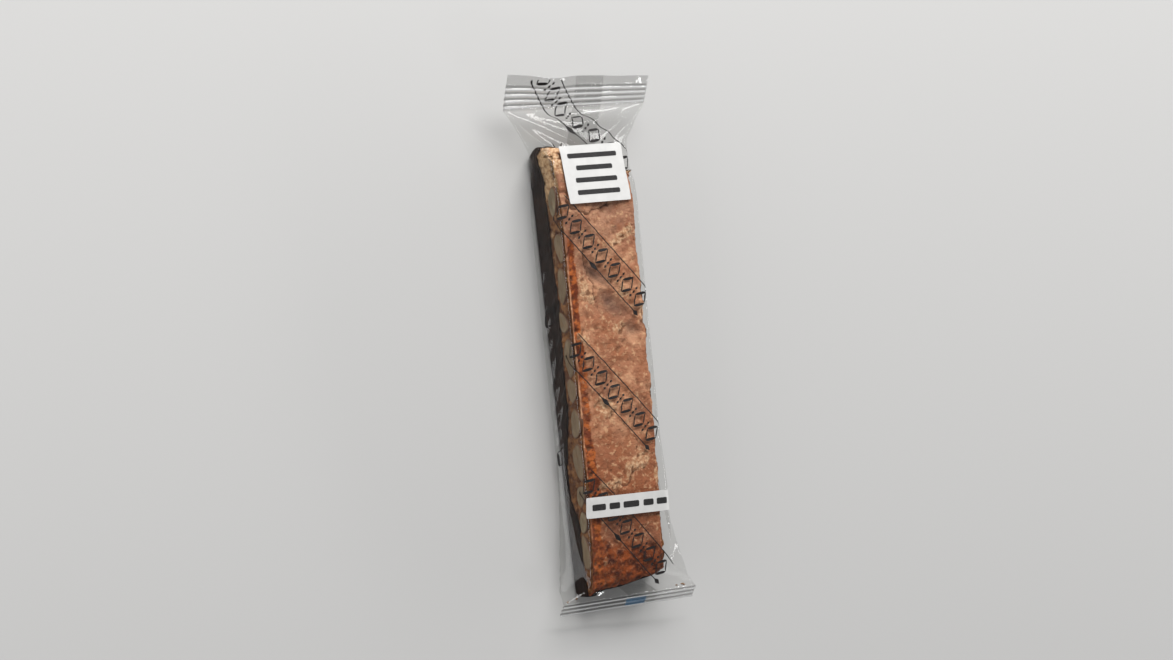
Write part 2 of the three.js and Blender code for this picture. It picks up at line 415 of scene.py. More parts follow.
def box_grid(nx, ny, nz):
    """Points on the faces of the cube from -1 to 1, and their outward quads with each quad's side."""
    index = -np.ones((nx + 1, ny + 1, nz + 1), int)
    on_face = np.zeros_like(index, bool)
    on_face[[0, -1]] = True
    on_face[:, [0, -1]] = True
    on_face[:, :, [0, -1]] = True
    index[on_face] = np.arange(on_face.sum())
    lattice = np.argwhere(on_face) / np.array([nx, ny, nz]) * 2.0 - 1.0
    faces, sides = [], []
    for axis in range(3):
        for end in (0, -1):
            quads = sheet_faces(np.take(index, end, axis=axis))
            outward = (end == -1) != (axis == 1)
            faces.append(quads if outward else quads[:, ::-1])
            sides.append(np.full(len(quads), axis * 2 + (end == -1)))
    return lattice, np.concatenate(faces), np.concatenate(sides)


# ---------------------------------------------------------------- the pack's form


def seal_section(y, height, half_width, tilt, skew):
    half = SEAL_GAP / 2
    return dict(y=y, skew=skew, sole=height - half, crown=height + half, ridge=height,
                edge=half_width, side=half_width, tilt=tilt, shoulder=0.0, flank=0.0)


def body_section(y, sole, crown, ridge, side, tilt=0.0, shoulder=0.0, flank=FLANK_START):
    """A section round the biscotti; on its +X side the crown may stand out by a shoulder."""
    return dict(y=y, skew=0.0, sole=sole, crown=crown, ridge=ridge,
                edge=BODY_HALF_WIDTH, side=side, tilt=tilt, shoulder=shoulder, flank=flank)


def flared(section, share, above):
    """How far a side is out towards its ridge, from 0 to 1, at a share of the way there."""
    late = np.clip((share - section["flank"]) / (1.0 - section["flank"]), 0.0, 1.0)
    return np.where(above, late, share)


class PackForm:
    """The film's form: a rounded box section that changes along the pack, flat at both seals."""

    def __init__(self):
        _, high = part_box("film_pack")
        self.half_length = high.y / MM
        self.flat_half_width = high.x / MM
        self.foot_edge = -self.half_length
        self.foot_base = self.foot_edge + FOOT_SEAL_LENGTH
        self.head_edge = self.half_length + HEAD_EDGE_SKEW * self.flat_half_width
        self.head_base = self.head_edge - HEAD_SEAL_LENGTH
        self.head_margin = self.head_edge - HEAD_MARGIN
        rise = (HEAD_SEAL_EDGE_HEIGHT - HEAD_SEAL_BASE_HEIGHT) / HEAD_SEAL_LENGTH
        margin_height = HEAD_SEAL_EDGE_HEIGHT - rise * HEAD_MARGIN
        wide = self.flat_half_width
        self.sections = [
            seal_section(self.foot_edge, FOOT_SEAL_EDGE_HEIGHT, FOOT_HALF_WIDTH, FOOT_TILT, 0.0),
            seal_section(self.foot_base, FOOT_SEAL_BASE_HEIGHT, FOOT_HALF_WIDTH, FOOT_TILT, 0.0),
            body_section(-75.5, 0.9, 11.4, 7.6, 21.6, tilt=0.14, shoulder=1.2, flank=0.1),
            body_section(-67.5, FILM_SOLE, 12.9, 6.6, 19.6, tilt=0.2, shoulder=2.0, flank=0.3),
            body_section(-48.5, FILM_SOLE, 14.9, 5.0, 17.0, tilt=0.16, shoulder=2.3),
            body_section(-30.5, FILM_SOLE, 15.2, 3.4, 16.6, tilt=0.04, shoulder=1.2),
            body_section(4.5, FILM_SOLE, 16.3, 3.0, 16.6),
            body_section(42.5, FILM_SOLE, 17.4, 3.4, 16.3),
            body_section(59.8, 2.2, 14.6, 8.4, 15.4, flank=0.3),
            seal_section(self.head_base, HEAD_SEAL_BASE_HEIGHT, wide, 0.0, 0.0),
            seal_section(self.head_margin, margin_height, wide, 0.0, HEAD_EDGE_SKEW * 0.7),
            seal_section(self.head_edge, HEAD_SEAL_EDGE_HEIGHT, wide, 0.0, HEAD_EDGE_SKEW),
        ]
        self.stations = np.array([section["y"] for section in self.sections])

    def at(self, y):
        """The section's values at any y, each as an array if y is one."""
        return {
            name: np.interp(y, self.stations, [section[name] for section in self.sections])
            for name in self.sections[0]
        }

    def ridge_relief(self, y):
        foot = (y - self.foot_edge) / FOOT_SEAL_LENGTH * FOOT_RIDGES
        head = (y - self.head_base) / (self.head_margin - self.head_base) * HEAD_RIDGES
        relief = np.where(foot < FOOT_RIDGES, np.sin(2 * np.pi * foot), 0.0)
        relief = np.where((head > 0) & (head < HEAD_RIDGES), np.sin(2 * np.pi * head), relief)
        return RIDGE_RELIEF * relief

    def head_wave(self, x, y):
        growth = np.clip((y - self.head_base) / HEAD_SEAL_LENGTH, 0.0, 1.0)
        return growth * np.exp(-(((x - WAVE_CENTRE) / WAVE_WIDTH) ** 2))

    def placed(self, section, u, w):
        """Moves points of a section's upright rounded box to their place in the pack."""
        half_height = (section["crown"] - section["sole"]) / 2
        middle = (section["crown"] + section["sole"]) / 2
        side_share = np.maximum(0.0, 1.0 - np.abs(w) / half_height)
        tilt_share = 1.0 - (1.0 - side_share) * np.minimum(1.0, half_height / FULL_HEIGHT)
        x = u * (1.0 + (section["side"] / section["edge"] - 1.0) * flared(section, side_share, w > 0))
        x = x + section["shoulder"] * np.maximum(u, 0.0) / section["edge"] * (1.0 - side_share) * (w > 0)
        y = section["y"] + section["skew"] * x
        z = middle + w + (section["ridge"] - middle) * side_share + section["tilt"] * x * tilt_share
        wave = self.head_wave(x, y)
        z = z + self.ridge_relief(section["y"]) + WAVE_RISE * wave + self.seal_unevenness(x, y)
        return np.stack([x, y - WAVE_SHORTENING * wave, z], axis=-1)

    def seal_unevenness(self, x, y):
        """The seals' own slight waves, strongest at their outer edges."""
        place = np.stack([x, 0.5 * y, np.zeros_like(x)], axis=-1)
        head = np.clip((y - self.head_base) / HEAD_SEAL_LENGTH, 0.0, 1.0)
        foot = np.clip((self.foot_base - y) / FOOT_SEAL_LENGTH, 0.0, 1.0)
        return SEAL_WAVES * (head + foot) * layered_noise(place, SEAL_WAVE_SIZE, 3, 3)

    def ring(self, y, cells):
        """Points evenly spaced round the film at y, from the middle of the crown towards +X."""
        section = self.at(y)
        half_height = (section["crown"] - section["sole"]) / 2
        radius = min(FILM_CORNER_RADIUS, 0.9 * half_height)
        turn = np.linspace(0.0, 8.0, 1025)
        across = np.interp(turn, [0, 1, 3, 5, 7, 8], [0, 1, 1, -1, -1, 0])
        up = np.interp(turn, [0, 1, 3, 5, 7, 8], [1, 1, -1, -1, 1, 1])
        sharp = np.stack([across * section["edge"], up * half_height], axis=-1)
        core = np.array([section["edge"] - radius, half_height - radius])
        centre = np.clip(sharp, -core, core)
        outward = sharp - centre
        outward *= radius / np.linalg.norm(outward, axis=1, keepdims=True)
        outline = self.placed(section, centre[:, 0] + outward[:, 0], centre[:, 1] + outward[:, 1])
        length = np.concatenate([[0.0], np.cumsum(np.linalg.norm(np.diff(outline, axis=0), axis=1))])
        wanted = np.linspace(0.0, length[-1], cells + 1)[:-1]
        return np.stack([np.interp(wanted, length, outline[:, k]) for k in range(3)], axis=-1)

    def side_room(self, points):
        """How far out the film's sides stay beside the biscotti: least at its crust."""
        x, y, z = points.T
        section = self.at(y)
        ridge = section["ridge"] + section["tilt"] * x
        above = z > ridge
        reach = np.where(above, section["crown"] - ridge, ridge - section["sole"])
        share = np.clip(1.0 - np.abs(z - ridge) / np.maximum(reach, 1.0), 0.0, 1.0)
        pinch = PINCH["depth"] * np.exp(-(((y - PINCH["y"]) / PINCH["width"]) ** 2)) * (x < 0)
        flare = RIDGE_HOLD * section["side"] - pinch - BISCOTTI_HALF_WIDTH
        shoulder = section["shoulder"] * (1.0 - share) * smoothstep(0.0, 0.15, share) * (above & (x > 0))
        beside = smoothstep(*BESIDE_FOOT, y) * smoothstep(*BESIDE_HEAD, y)
        return BISCOTTI_HALF_WIDTH + (flare * flared(section, share, above) + shoulder) * beside

    def crust_height(self, y):
        return self.at(y)["crown"] - CRUST_GAP


# ---------------------------------------------------------------- the film


def grid_normals(points):
    """Unit normals out of a tube of points[ring, cell around]."""
    along = np.empty_like(points)
    along[1:-1] = points[2:] - points[:-2]
    along[0] = points[1] - points[0]
    along[-1] = points[-1] - points[-2]
    around = np.roll(points, -1, axis=1) - np.roll(points, 1, axis=1)
    return unit(np.cross(around, along))


def spaced_along(stack, cells):
    """Moves the points of each lengthwise line so that its cells have one length."""
    steps = np.linalg.norm(np.diff(stack, axis=0), axis=2)
    length = np.concatenate([np.zeros((1, stack.shape[1])), np.cumsum(steps, axis=0)])
    result = np.empty((cells, *stack.shape[1:]))
    for column in range(stack.shape[1]):
        wanted = np.linspace(0.0, length[-1, column], cells, endpoint=False)
        for axis in range(3):
            result[:, column, axis] = np.interp(wanted, length[:, column], stack[:, column, axis])
    return result


class Film:
    """The film as a grid of points: rings along the pack, each with the same cells around."""

    def __init__(self, form):
        self.form = form
        foot = np.linspace(form.foot_edge, form.foot_base, FOOT_RINGS, endpoint=False)
        body = np.linspace(form.foot_base, form.head_base, 6 * BODY_RINGS + 1)
        head = np.linspace(form.head_base, form.head_edge, HEAD_RINGS)
        body_stack = spaced_along(self.ring_stack(body), BODY_RINGS)
        self.points = np.concatenate([self.ring_stack(foot), body_stack, self.ring_stack(head)])
        self.along = self.points[:, 0, 1].copy()
        self.girth = girths(self.points)
        self.body = np.zeros(self.points.shape[:2])
        self.body[FOOT_RINGS:FOOT_RINGS + BODY_RINGS] = 1.0
        self.normals = grid_normals(self.points)

    def ring_stack(self, ring_y):
        return np.stack([self.form.ring(y, AROUND_CELLS) for y in ring_y])

    def along_for(self, round_mm, y_mm):
        """How far along the film its points are that lie at the given y."""
        along = np.array(y_mm, float)
        for _ in range(4):
            along += y_mm - self.at(np.stack([round_mm, along], axis=-1), 0.0)[:, 1]
        return along

    def under_labels(self):
        """1 where a sticker backs the film, 0 elsewhere."""
        share = np.arange(AROUND_CELLS) / AROUND_CELLS
        share = np.where(share > 0.5, share - 1.0, share)
        x = self.girth[:, None] * share
        backed = np.zeros(x.shape)
        for label in (UPPER_LABEL, LOWER_LABEL):
            across = np.abs(x - label["x"]) < label["width"] / 2 + LABEL_BACKING
            along = np.abs(self.along - label["y"]) < label["length"] / 2 + LABEL_BACKING
            backed[across & along[:, None]] = 1.0
        return backed

    def settle(self):
        """Lets the film find its folds, coarsely first."""
        backed = self.under_labels()
        coarse = FilmSettling(self.form, self.points[::2, ::2], self.body[::2, ::2], backed[::2, ::2])
        shift = coarse.run(**COARSE_PASS) - self.points[::2, ::2]
        fine = FilmSettling(self.form, self.points, self.body, backed)
        fine.points = fine.points + doubled(shift) * self.body[:, :, None]
        self.points = fine.run(**FINE_PASS)
        self.normals = grid_normals(self.points)

    def faces(self):
        """Quads round the tube, and those that close it at its two flat ends."""
        rings, around = self.points.shape[:2]
        index = np.arange(rings * around).reshape(rings, around)
        top = np.arange(-around // 4, around // 4)
        below = around // 2 - top
        ends = []
        for ring in (0, -1):
            row = index[ring]
            corners = [row[top], row[top + 1], row[below - 1], row[below % around]]
            ends.append(np.stack(corners if ring == 0 else corners[::-1], axis=-1)[1:-1])
        return np.concatenate([tube_faces(index), *ends])

    def at(self, plane, lift):
        """Points `lift` off the film, from those of its plane: distance round it, place along it."""
        round_mm, along_mm = plane.T
        rings, around = self.points.shape[:2]
        row = np.interp(along_mm, self.along, np.arange(rings))
        column = round_mm / np.interp(along_mm, self.along, self.girth) * around
        c0 = np.floor(column).astype(int)
        r0 = np.minimum(np.floor(row).astype(int), rings - 2)
        fc = (column - c0)[:, None]
        fr = (row - r0)[:, None]
        lift = np.broadcast_to(lift, len(column))[:, None]
        result = 0.0
        for dr in (0, 1):
            for dc in (0, 1):
                weight = (fr if dr else 1 - fr) * (fc if dc else 1 - fc)
                key = (r0 + dr, (c0 + dc) % around)
                result = result + weight * (self.points[key] + lift * self.normals[key])
        return result


def girths(points):
    """The length round each ring of a tube of points."""
    return np.linalg.norm(np.roll(points, -1, axis=1) - points, axis=2).sum(axis=1)


def doubled(grid):
    """A grid with a value between every two, on a tube that closes round."""
    rings, around = grid.shape[:2]
    wide = np.empty((rings, 2 * around, 3))
    wide[:, ::2] = grid
    wide[:, 1::2] = (grid + np.roll(grid, -1, axis=1)) / 2
    result = np.empty((2 * rings - 1, 2 * around, 3))
    result[::2] = wide
    result[1::2] = (wide[1:] + wide[:-1]) / 2
    return result


class FilmSettling:
    """Settles the film round the biscotti as a thin sheet that bends easily but doesn't stretch."""

    def __init__(self, form, points, free, backed):
        self.form = form
        self.shape = points.shape
        self.start = points
        self.points = points
        self.free = free.reshape(-1, 1)
        calm = CALM_STIFFENING * smoothstep(*CALM_FOOT, points[:, :, 1])
        self.backed = (np.maximum(backed, calm) * free)[:, :, None]
        self.links = self.make_links()

    def make_links(self):
        rings, around = self.shape[:2]
        cell = girths(self.start) / around
        steps = np.linalg.norm(np.diff(self.start, axis=0), axis=2)
        place = np.concatenate([[0.0], np.cumsum(steps.mean(axis=1))])
        index = np.arange(rings * around).reshape(rings, around)
        flat = self.start.reshape(-1, 3)
        calm = smoothstep(*CALM_FOOT, flat[:, 1:2])
        links = []
        for rows, columns, stiffness in LINKS:
            reach = max(rows, abs(columns))
            for phase in (0, 1):
                r, c = np.meshgrid(np.arange(rings - rows), np.arange(around), indexing="ij")
                keep = (r if rows else c) // reach % 2 == phase
                r, c = r[keep], c[keep]
                first = index[r, c]
                second = index[r + rows, (c + columns) % around]
                rest = np.hypot(place[r + rows] - place[r], cell[r] * columns)[:, None]
                gap = flat[second] - flat[first]
                rest += (np.linalg.norm(gap, axis=1, keepdims=True) - rest) * calm[first]
                share = self.free[first] + self.free[second]
                moving = share[:, 0] > 0
                pull = stiffness / np.maximum(share, 1.0)
                links.append([values[moving] for values in (first, second, rest, pull)])
        return links

    def pull_links(self, flat):
        for first, second, rest, pull in self.links:
            gap = flat[second] - flat[first]
            length = np.maximum(np.sqrt(np.einsum("ij,ij->i", gap, gap))[:, None], 1e-6)
            gap *= pull * (length - rest) / length
            flat[first] += gap * self.free[first]
            flat[second] -= gap * self.free[second]

    def stiffen(self, points):
        """Smooths the film where a sticker backs it."""
        for _ in range(LABEL_STIFFENING):
            mean = points.copy()
            mean[1:-1] = (points[2:] + points[:-2]) / 2
            mean = (mean + (np.roll(points, 1, axis=1) + np.roll(points, -1, axis=1)) / 2) / 2
            points += (mean - points) * self.backed * SMOOTHING

    def keep_outside(self, flat):
        moved = out_of_biscotti(self.form, flat)
        out = np.abs(moved[:, 0])
        room = np.where(out > BISCOTTI_HALF_WIDTH, self.form.side_room(moved), 0.0)
        moved[:, 0] = np.sign(moved[:, 0]) * np.maximum(out, room)
        moved[:, 2] = np.maximum(moved[:, 2], FILM_SOLE)
        reach = self.form.flat_half_width
        moved[:, 0] = np.clip(moved[:, 0], -reach, reach)
        flat += (moved - flat) * self.free

    def run(self, seed, crumple_size, crumple_depth, steps, sweeps):
        first = self.start.reshape(-1, 3)
        flat = self.points.reshape(-1, 3).copy()
        points = flat.reshape(self.shape)
        calm = 1.0 - CALM_CRUMPLES * smoothstep(*CALM_FOOT, flat[:, 1])
        crumple = (crumple_depth * calm * layered_noise(flat, crumple_size, seed, 3))[:, None]
        memory = SHAPE_MEMORY * (1.0 + CALM_MEMORY * smoothstep(*CALM_FOOT, flat[:, 1:2]))
        flat += grid_normals(points).reshape(-1, 3) * crumple * self.free
        before = flat.copy()
        for _ in range(steps):
            drift = (flat - before) * KEPT_SPEED
            before[:] = flat
            push = grid_normals(points).reshape(-1, 3) * PRESSURE
            push[:, 2] -= FILM_WEIGHT
            flat += (drift + push + (first - flat) * memory) * self.free
            for _ in range(sweeps):
                self.pull_links(flat)
            self.stiffen(points)
            self.keep_outside(flat)
        return points


def out_of_biscotti(form, points):
    """Moves every point that is inside the biscotti, or closer than the film may lie, out of it."""
    x, y, z = points.T
    foot, head = foot_end(x) - FILM_MARGIN, head_end(x) + FILM_MARGIN
    half_length = (head - foot) / 2
    local_y = y - (head + foot) / 2
    base = BISCOTTI_BASE - FILM_MARGIN
    half_height = (form.crust_height(y) + FILM_MARGIN - base) / 2
    local_z = z - base - half_height
    radius = end_radius(local_y, local_z) + FILM_MARGIN
    over_y = np.abs(local_y) - (half_length - radius)
    over_z = np.abs(local_z) - (half_height - radius)
    corner = (over_y > 0) & (over_z > 0)
    reach = np.maximum(np.hypot(over_y, over_z), 1e-6)
    depth = radius - np.where(corner, reach, np.maximum(over_y, over_z))
    share_y = np.where(corner, over_y / reach, over_y > over_z)
    share_z = np.where(corner, over_z / reach, over_y <= over_z)
    depth_x = BISCOTTI_HALF_WIDTH + CHOCOLATE_THICKNESS + SIDE_MARGIN - np.abs(x)
    inside = (depth > 0) & (depth_x > 0)
    sideways = inside & (depth_x < depth)
    lengthways = inside & ~sideways
    moved = points.copy()
    moved[:, 0] += np.sign(x) * np.where(sideways, depth_x, 0.0)
    moved[:, 1] += np.sign(local_y) * np.where(lengthways, depth * share_y, 0.0)
    moved[:, 2] += np.sign(local_z) * np.where(lengthways, depth * share_z, 0.0)
    return moved


def make_film(film):
    crest = film.form.ridge_relief(film.along) / RIDGE_RELIEF
    values = dict(seal=1.0 - film.body.ravel(), crest=np.repeat(crest, AROUND_CELLS))
    return new_mesh("film", film.points.reshape(-1, 3), film.faces(), [film_material()], values)


# ---------------------------------------------------------------- what lies on the film


class Drawing:
    """Flat shapes in the film's own plane, which can then be laid on the film."""

    def __init__(self):
        self.points = []
        self.faces = []

    def add_grid(self, grid):
        """Adds a sheet from points[row, column] of the plane."""
        rows, columns = grid.shape[:2]
        index = np.arange(rows * columns).reshape(rows, columns) + len(self.points)
        self.points.extend(grid.reshape(-1, 2))
        self.faces.extend(sheet_faces(index))

    def stroke(self, path, widths):
        """A line along a path of points, as wide at each as given."""
        path = np.asarray(path, float)
        ahead = unit(np.gradient(path, axis=0))
        side = np.stack([ahead[:, 1], -ahead[:, 0]], axis=1) * np.reshape(widths, (-1, 1)) / 2
        self.add_grid(np.stack([path - side, path, path + side], axis=1))

    def line(self, start, end, width):
        """A straight line with slightly tapered ends."""
        start, end = np.asarray(start, float), np.asarray(end, float)
        count = max(3, int(np.linalg.norm(end - start) / STROKE_STEP))
        share = np.linspace(0.0, 1.0, count)[:, None]
        taper = np.sqrt(np.clip(np.minimum(share, 1.0 - share) * count / 1.5, 0.08, 1.0))
        self.stroke(start + (end - start) * share, width * taper)

    def spindle(self, middle, reach, width):
        """A small solid lozenge, from its middle to `reach` either way."""
        share = np.linspace(-1.0, 1.0, 9)[:, None]
        self.stroke(middle + reach * share, width * (1.02 - np.abs(share)))

    def bar(self, middle, size):
        """A bar along x, its corners slightly rounded."""
        half = size[0] / 2
        inner = np.linspace(-half + BAR_END, half - BAR_END, max(3, int(size[0] / STROKE_STEP)))
        along = np.concatenate([[-half], inner, [half]])
        widths = np.full(len(along), size[1])
        widths[[0, -1]] -= 2 * BAR_END
        self.stroke(np.stack([along, np.zeros_like(along)], axis=1) + middle, widths)

    def on_film(self, name, film, lift, ink):
        points = film.at(np.array(self.points), lift)
        return new_mesh(name, points, self.faces, [ink_material(ink)])


def add_ribbon(drawing, start):
    """One ribbon of the print: lozenge outlines with small solid ones between, and two rules."""
    start = np.asarray(start, float)
    fall = np.array(RIBBON_FALL)
    length = np.linalg.norm(fall)
    ahead = fall / length
    side = np.array([ahead[1], -ahead[0]])
    pitch = length / LOZENGES
    for number in range(LOZENGES):
        middle = start + ahead * pitch * (number + 0.5)
        add_lozenge(drawing, middle, ahead * LOZENGE_SIZE[1], side * LOZENGE_SIZE[0])
        if number:
            for offset in SPOT_OFFSETS:
                spot = start + ahead * pitch * number + side * offset
                drawing.spindle(spot, side * SPOT_SIZE, SPOT_WIDTH)
    for offset in (-RULE_OFFSET, RULE_OFFSET):
        drawing.line(start + side * offset, start + fall + side * offset, RULE_STROKE)
    for share, reach in RULE_BEADS:
        drawing.spindle(start + fall * share + side * RULE_OFFSET, ahead * reach, BEAD_WIDTH)


def add_lozenge(drawing, middle, ahead, side):
    """The outline of one lozenge, with strokes of two widths."""
    corners = [middle + ahead, middle + side, middle - ahead, middle - side]
    for first, second, width in zip(corners, corners[1:] + corners[:1], LOZENGE_STROKES):
        drawing.line(first, second, width)


def make_print(film):
    """Ribbons round the film, broken off at its -X flank, where single lozenges stand."""
    drawing = Drawing()
    for start_x in RIBBON_START_X:
        for start_y in RIBBON_STARTS:
            add_ribbon(drawing, (start_x, start_y))
    x, y = np.array(drawing.points).T
    inside = (x > FLANK_BARE[1]) | (x < FLANK_BARE[0]) & (y < BACK_PRINT_END)
    inside &= (y > film.along[0] + PRINT_MARGIN) & (y < film.along[-1] - PRINT_MARGIN)
    drawing.faces = [face for face in drawing.faces if inside[face].all()]
    slant = np.array(FLANK_LOZENGE_SLANT)
    across = np.array([slant[1], -slant[0]])
    for start_y in RIBBON_STARTS[:-1]:
        middle = np.array([FLANK_LOZENGE[0], start_y + FLANK_LOZENGE[1]])
        add_lozenge(drawing, middle, slant * FLANK_LOZENGE_SIZE[0], across * FLANK_LOZENGE_SIZE[1])
    return drawing.on_film("film_print", film, INK_LIFT, "print_ink")


def plane_grid(across, along, cells):
    """Points[across, along] of a rectangle of the film's plane."""
    axes = [np.linspace(*reach, count) for reach, count in zip((across, along), cells)]
    return np.stack(np.meshgrid(*axes, indexing="ij"), axis=-1)


def make_eye_mark(film):
    """The printed patch on the foot seal."""
    drawing = Drawing()
    along = [film.along[0] + reach for reach in EYE_MARK["along"]]
    drawing.add_grid(plane_grid(EYE_MARK["across"], along, EYE_MARK["cells"])[:, ::-1])
    return drawing.on_film("eye_mark", film, INK_LIFT, "eye_mark_ink")


def make_fin_seal(film):
    """The lengthwise seal on the back: a flat strip of doubled film."""
    drawing = Drawing()
    along = (film.along[0] + FIN_MARGIN, film.along[-1] - FIN_MARGIN)
    drawing.add_grid(plane_grid((FIN_START, FIN_START + FIN_WIDTH), along, FIN_CELLS)[::-1])
    plane = np.array(drawing.points)
    share = (plane[:, 0] - FIN_START) / FIN_WIDTH
    plane[:, 0] = np.interp(plane[:, 1], film.along, film.girth) / 2 - plane[:, 0]
    ripple = FIN_RIPPLE * np.sin(plane[:, 1] * FIN_RIPPLE_TURN[0] + FIN_RIPPLE_TURN[1] * share)
    lift = FIN_LIFT * smoothstep(0.0, FIN_ROOT, share) + FIN_ROOT_LIFT + ripple * share
    values = dict(seal=np.ones(len(plane)))
    return new_mesh("fin_seal", film.at(plane, lift), drawing.faces, [film_material()], values)


def on_label(film, points, label):
    """Points of a sticker's own plane, in the film's; its edges stay straight over the film's swell."""
    c, s = math.cos(label["turn"]), math.sin(label["turn"])
    x = label["x"] + points[:, 0] * c - points[:, 1] * s
    y = label["y"] + points[:, 0] * s + points[:, 1] * c
    return np.stack([x, film.along_for(x, y)], axis=-1)


def make_label(name, film, label):
    """A thin paper sticker that follows the film."""
    half = np.array([label["width"], label["length"]]) / 2
    lattice, faces, _ = box_grid(*np.round(2 * half / LABEL_CELL).astype(int), 1)
    flat = lattice[:, :2] * half
    core = np.clip(flat, LABEL_CORNER - half, half - LABEL_CORNER)
    out = flat - core
    reach = np.maximum(np.linalg.norm(out, axis=1, keepdims=True), 1e-6)
    plane = on_label(film, core + out * np.minimum(1.0, LABEL_CORNER / reach), label)
    lift = LABEL_LIFT + LABEL_THICKNESS * (lattice[:, 2] + 1) / 2
    piece = new_mesh(name, film.at(plane, lift), faces, [paper_material()])
    piece.data.set_sharp_from_angle(angle=SHARP_ANGLE)
    return piece


def make_label_lines(name, film, label, bars):
    """Plain dark bars in place of a sticker's words: each has its middle and its size."""
    drawing = Drawing()
    for middle, size in bars:
        drawing.bar(np.asarray(middle, float), size)
    drawing.points = list(on_label(film, np.array(drawing.points), label))
    return drawing.on_film(name, film, LABEL_LIFT + LABEL_THICKNESS + INK_LIFT, "label_ink")


# ---------------------------------------------------------------- the biscotti


def foot_end(x):
    return np.interp(x, *zip(*FOOT_OUTLINE))


def head_end(x):
    return np.interp(x, *zip(*HEAD_OUTLINE))


def end_radius(towards_head, upward):
    """How round the biscotti's ends are, from the signs of a point's place in it."""
    crust = np.where(towards_head > 0, HEAD_END_RADIUS, FOOT_END_RADIUS)
    return np.where(upward > 0, crust, BASE_END_RADIUS)


def biscotti_form(form, lattice):
    """Places box_grid points on the biscotti: a long slab with rounded crust ends and edges."""
    x = lattice[:, 0] * BISCOTTI_HALF_WIDTH
    foot, head = foot_end(x), head_end(x)
    half_length = (head - foot) / 2
    middle_y = (head + foot) / 2
    reach = lattice[:, 1] * half_length
    height = form.crust_height(middle_y + reach) - BISCOTTI_BASE
    rise = lattice[:, 2] * height / 2
    edge = np.where(lattice[:, 2] > 0, CRUST_EDGE_RADIUS, BASE_EDGE_RADIUS)
    x, rise = rounded(x, rise, BISCOTTI_HALF_WIDTH, height / 2, edge)
    end = end_radius(lattice[:, 1], lattice[:, 2])
    reach, rise = rounded(reach, rise, half_length, height / 2, end)
    return np.stack([x, middle_y + reach, BISCOTTI_BASE + height / 2 + rise], axis=-1)


def rounded(u, v, half_u, half_v, radius):
    """Moves points of a rectangle's rim in to its rounded corners."""
    core_u = np.clip(u, radius - half_u, half_u - radius)
    core_v = np.clip(v, radius - half_v, half_v - radius)
    out_u, out_v = u - core_u, v - core_v
    distance = np.hypot(out_u, out_v)
    squeeze = np.where(distance > radius, radius / np.maximum(distance, 1e-6), 1.0)
    return core_u + out_u * squeeze, core_v + out_v * squeeze


def crust_zones(points):
    """Where the crust is baked dark: beside its -X edge and thinly at the other, and at its foot."""
    x, y = points[:, 0], points[:, 1]
    wander = layered_noise(points, 9.0, 21, 4)
    from_edge = x + BISCOTTI_HALF_WIDTH
    reach = from_edge + 1.6 * wander - 1.0 * smoothstep(2.0, -22.0, y)
    strip = smoothstep(0.7, 1.3, from_edge + 0.4 * wander) * smoothstep(4.2, 2.4, reach)
    strip = strip * smoothstep(38.0, 29.0, y + 4.0 * wander)
    strip = strip * (0.65 + 0.5 * smoothstep(-0.4, 0.3, value_noise(points, 9.0, 25)))
    far_line = 0.6 * smoothstep(11.4, 13.0, x + 1.2 * wander) * smoothstep(-20.0, -50.0, y)
    foot = smoothstep(-58.0, -68.0, y + 5.0 * wander + 0.12 * x)
    return np.maximum(strip, far_line), foot


def crust_relief(points):
    """The crust's height off its plain form, in millimetres, and what colours it."""
    x, y = points[:, 0], points[:, 1]
    strip, foot = crust_zones(points)
    flakes = patches(points, FLAKY_PATCHES) + 0.7 * layered_noise(points, 2.6, 33, 3)
    flaking = smoothstep(0.15, 0.95, flakes)
    gaps = smoothstep(0.2, 0.6, flaking) * smoothstep(0.1, 0.6, value_noise(points, 1.1, 35))
    # the dents: besides their depth, the crust's colour is darkened in them as painted shade in the
    # hollows
    dents_and_painted_shade = patches(points, DENTS) * smoothstep(-0.7, -0.1, layered_noise(points, 5.0, 37, 3))
    cracking = 1.0 - 2.0 * np.abs(layered_noise(points, 17.0, 51, 4))
    # the cracks: cut in, and darkened in the colour as painted shade in them
    cracks = smoothstep(0.955, 0.995, cracking) * smoothstep(0.0, 0.35, value_noise(points, 21.0, 57))
    scorched = pits(x, y, 2.1, 65, 1.6) * np.maximum(0.9 * strip, 0.6 * foot)
    sparse = 0.5 * pits(x, y, 3.1, 67, 7.0)
    # pores: pit depth, which the colour also darkens as painted shade in the hollows; those in the
    # browned strip and foot are partly browned colour
    pores = np.maximum(np.maximum(0.6 * gaps, scorched), sparse)
    swell = layered_noise(points, 13.0, 11, 3)
    crags = np.abs(layered_noise(points, 5.2, 15, 3)) - 0.25
    grain = layered_noise(points, 1.5, 81, 2)
    height = 0.5 * swell + 0.85 * crags + (0.12 + 0.25 * flaking + 0.28 * foot) * grain + 0.1 * flaking
    height -= 1.2 * dents_and_painted_shade + 0.6 * cracks + 0.6 * pores + 0.4 * strip + 0.15
    warm = smoothstep(-14.0, -42.0, y + 8.0 * swell)
    # painted shade: the crust's colour is darker towards its head end, where the key light falls
    # stronger
    dusty = smoothstep(20.0, 34.0, y + 6.0 * swell)
    pale = smoothstep(-3.0, -8.0, x) * smoothstep(50.0, 56.0, y + 2.0 * swell)
    values = dict(strip=strip, foot=foot, flaking=flaking, dents_and_painted_shade=dents_and_painted_shade, cracks=cracks, pits=pores)
    values.update(warm=warm, dusty=dusty, pale=pale)
    return height, values


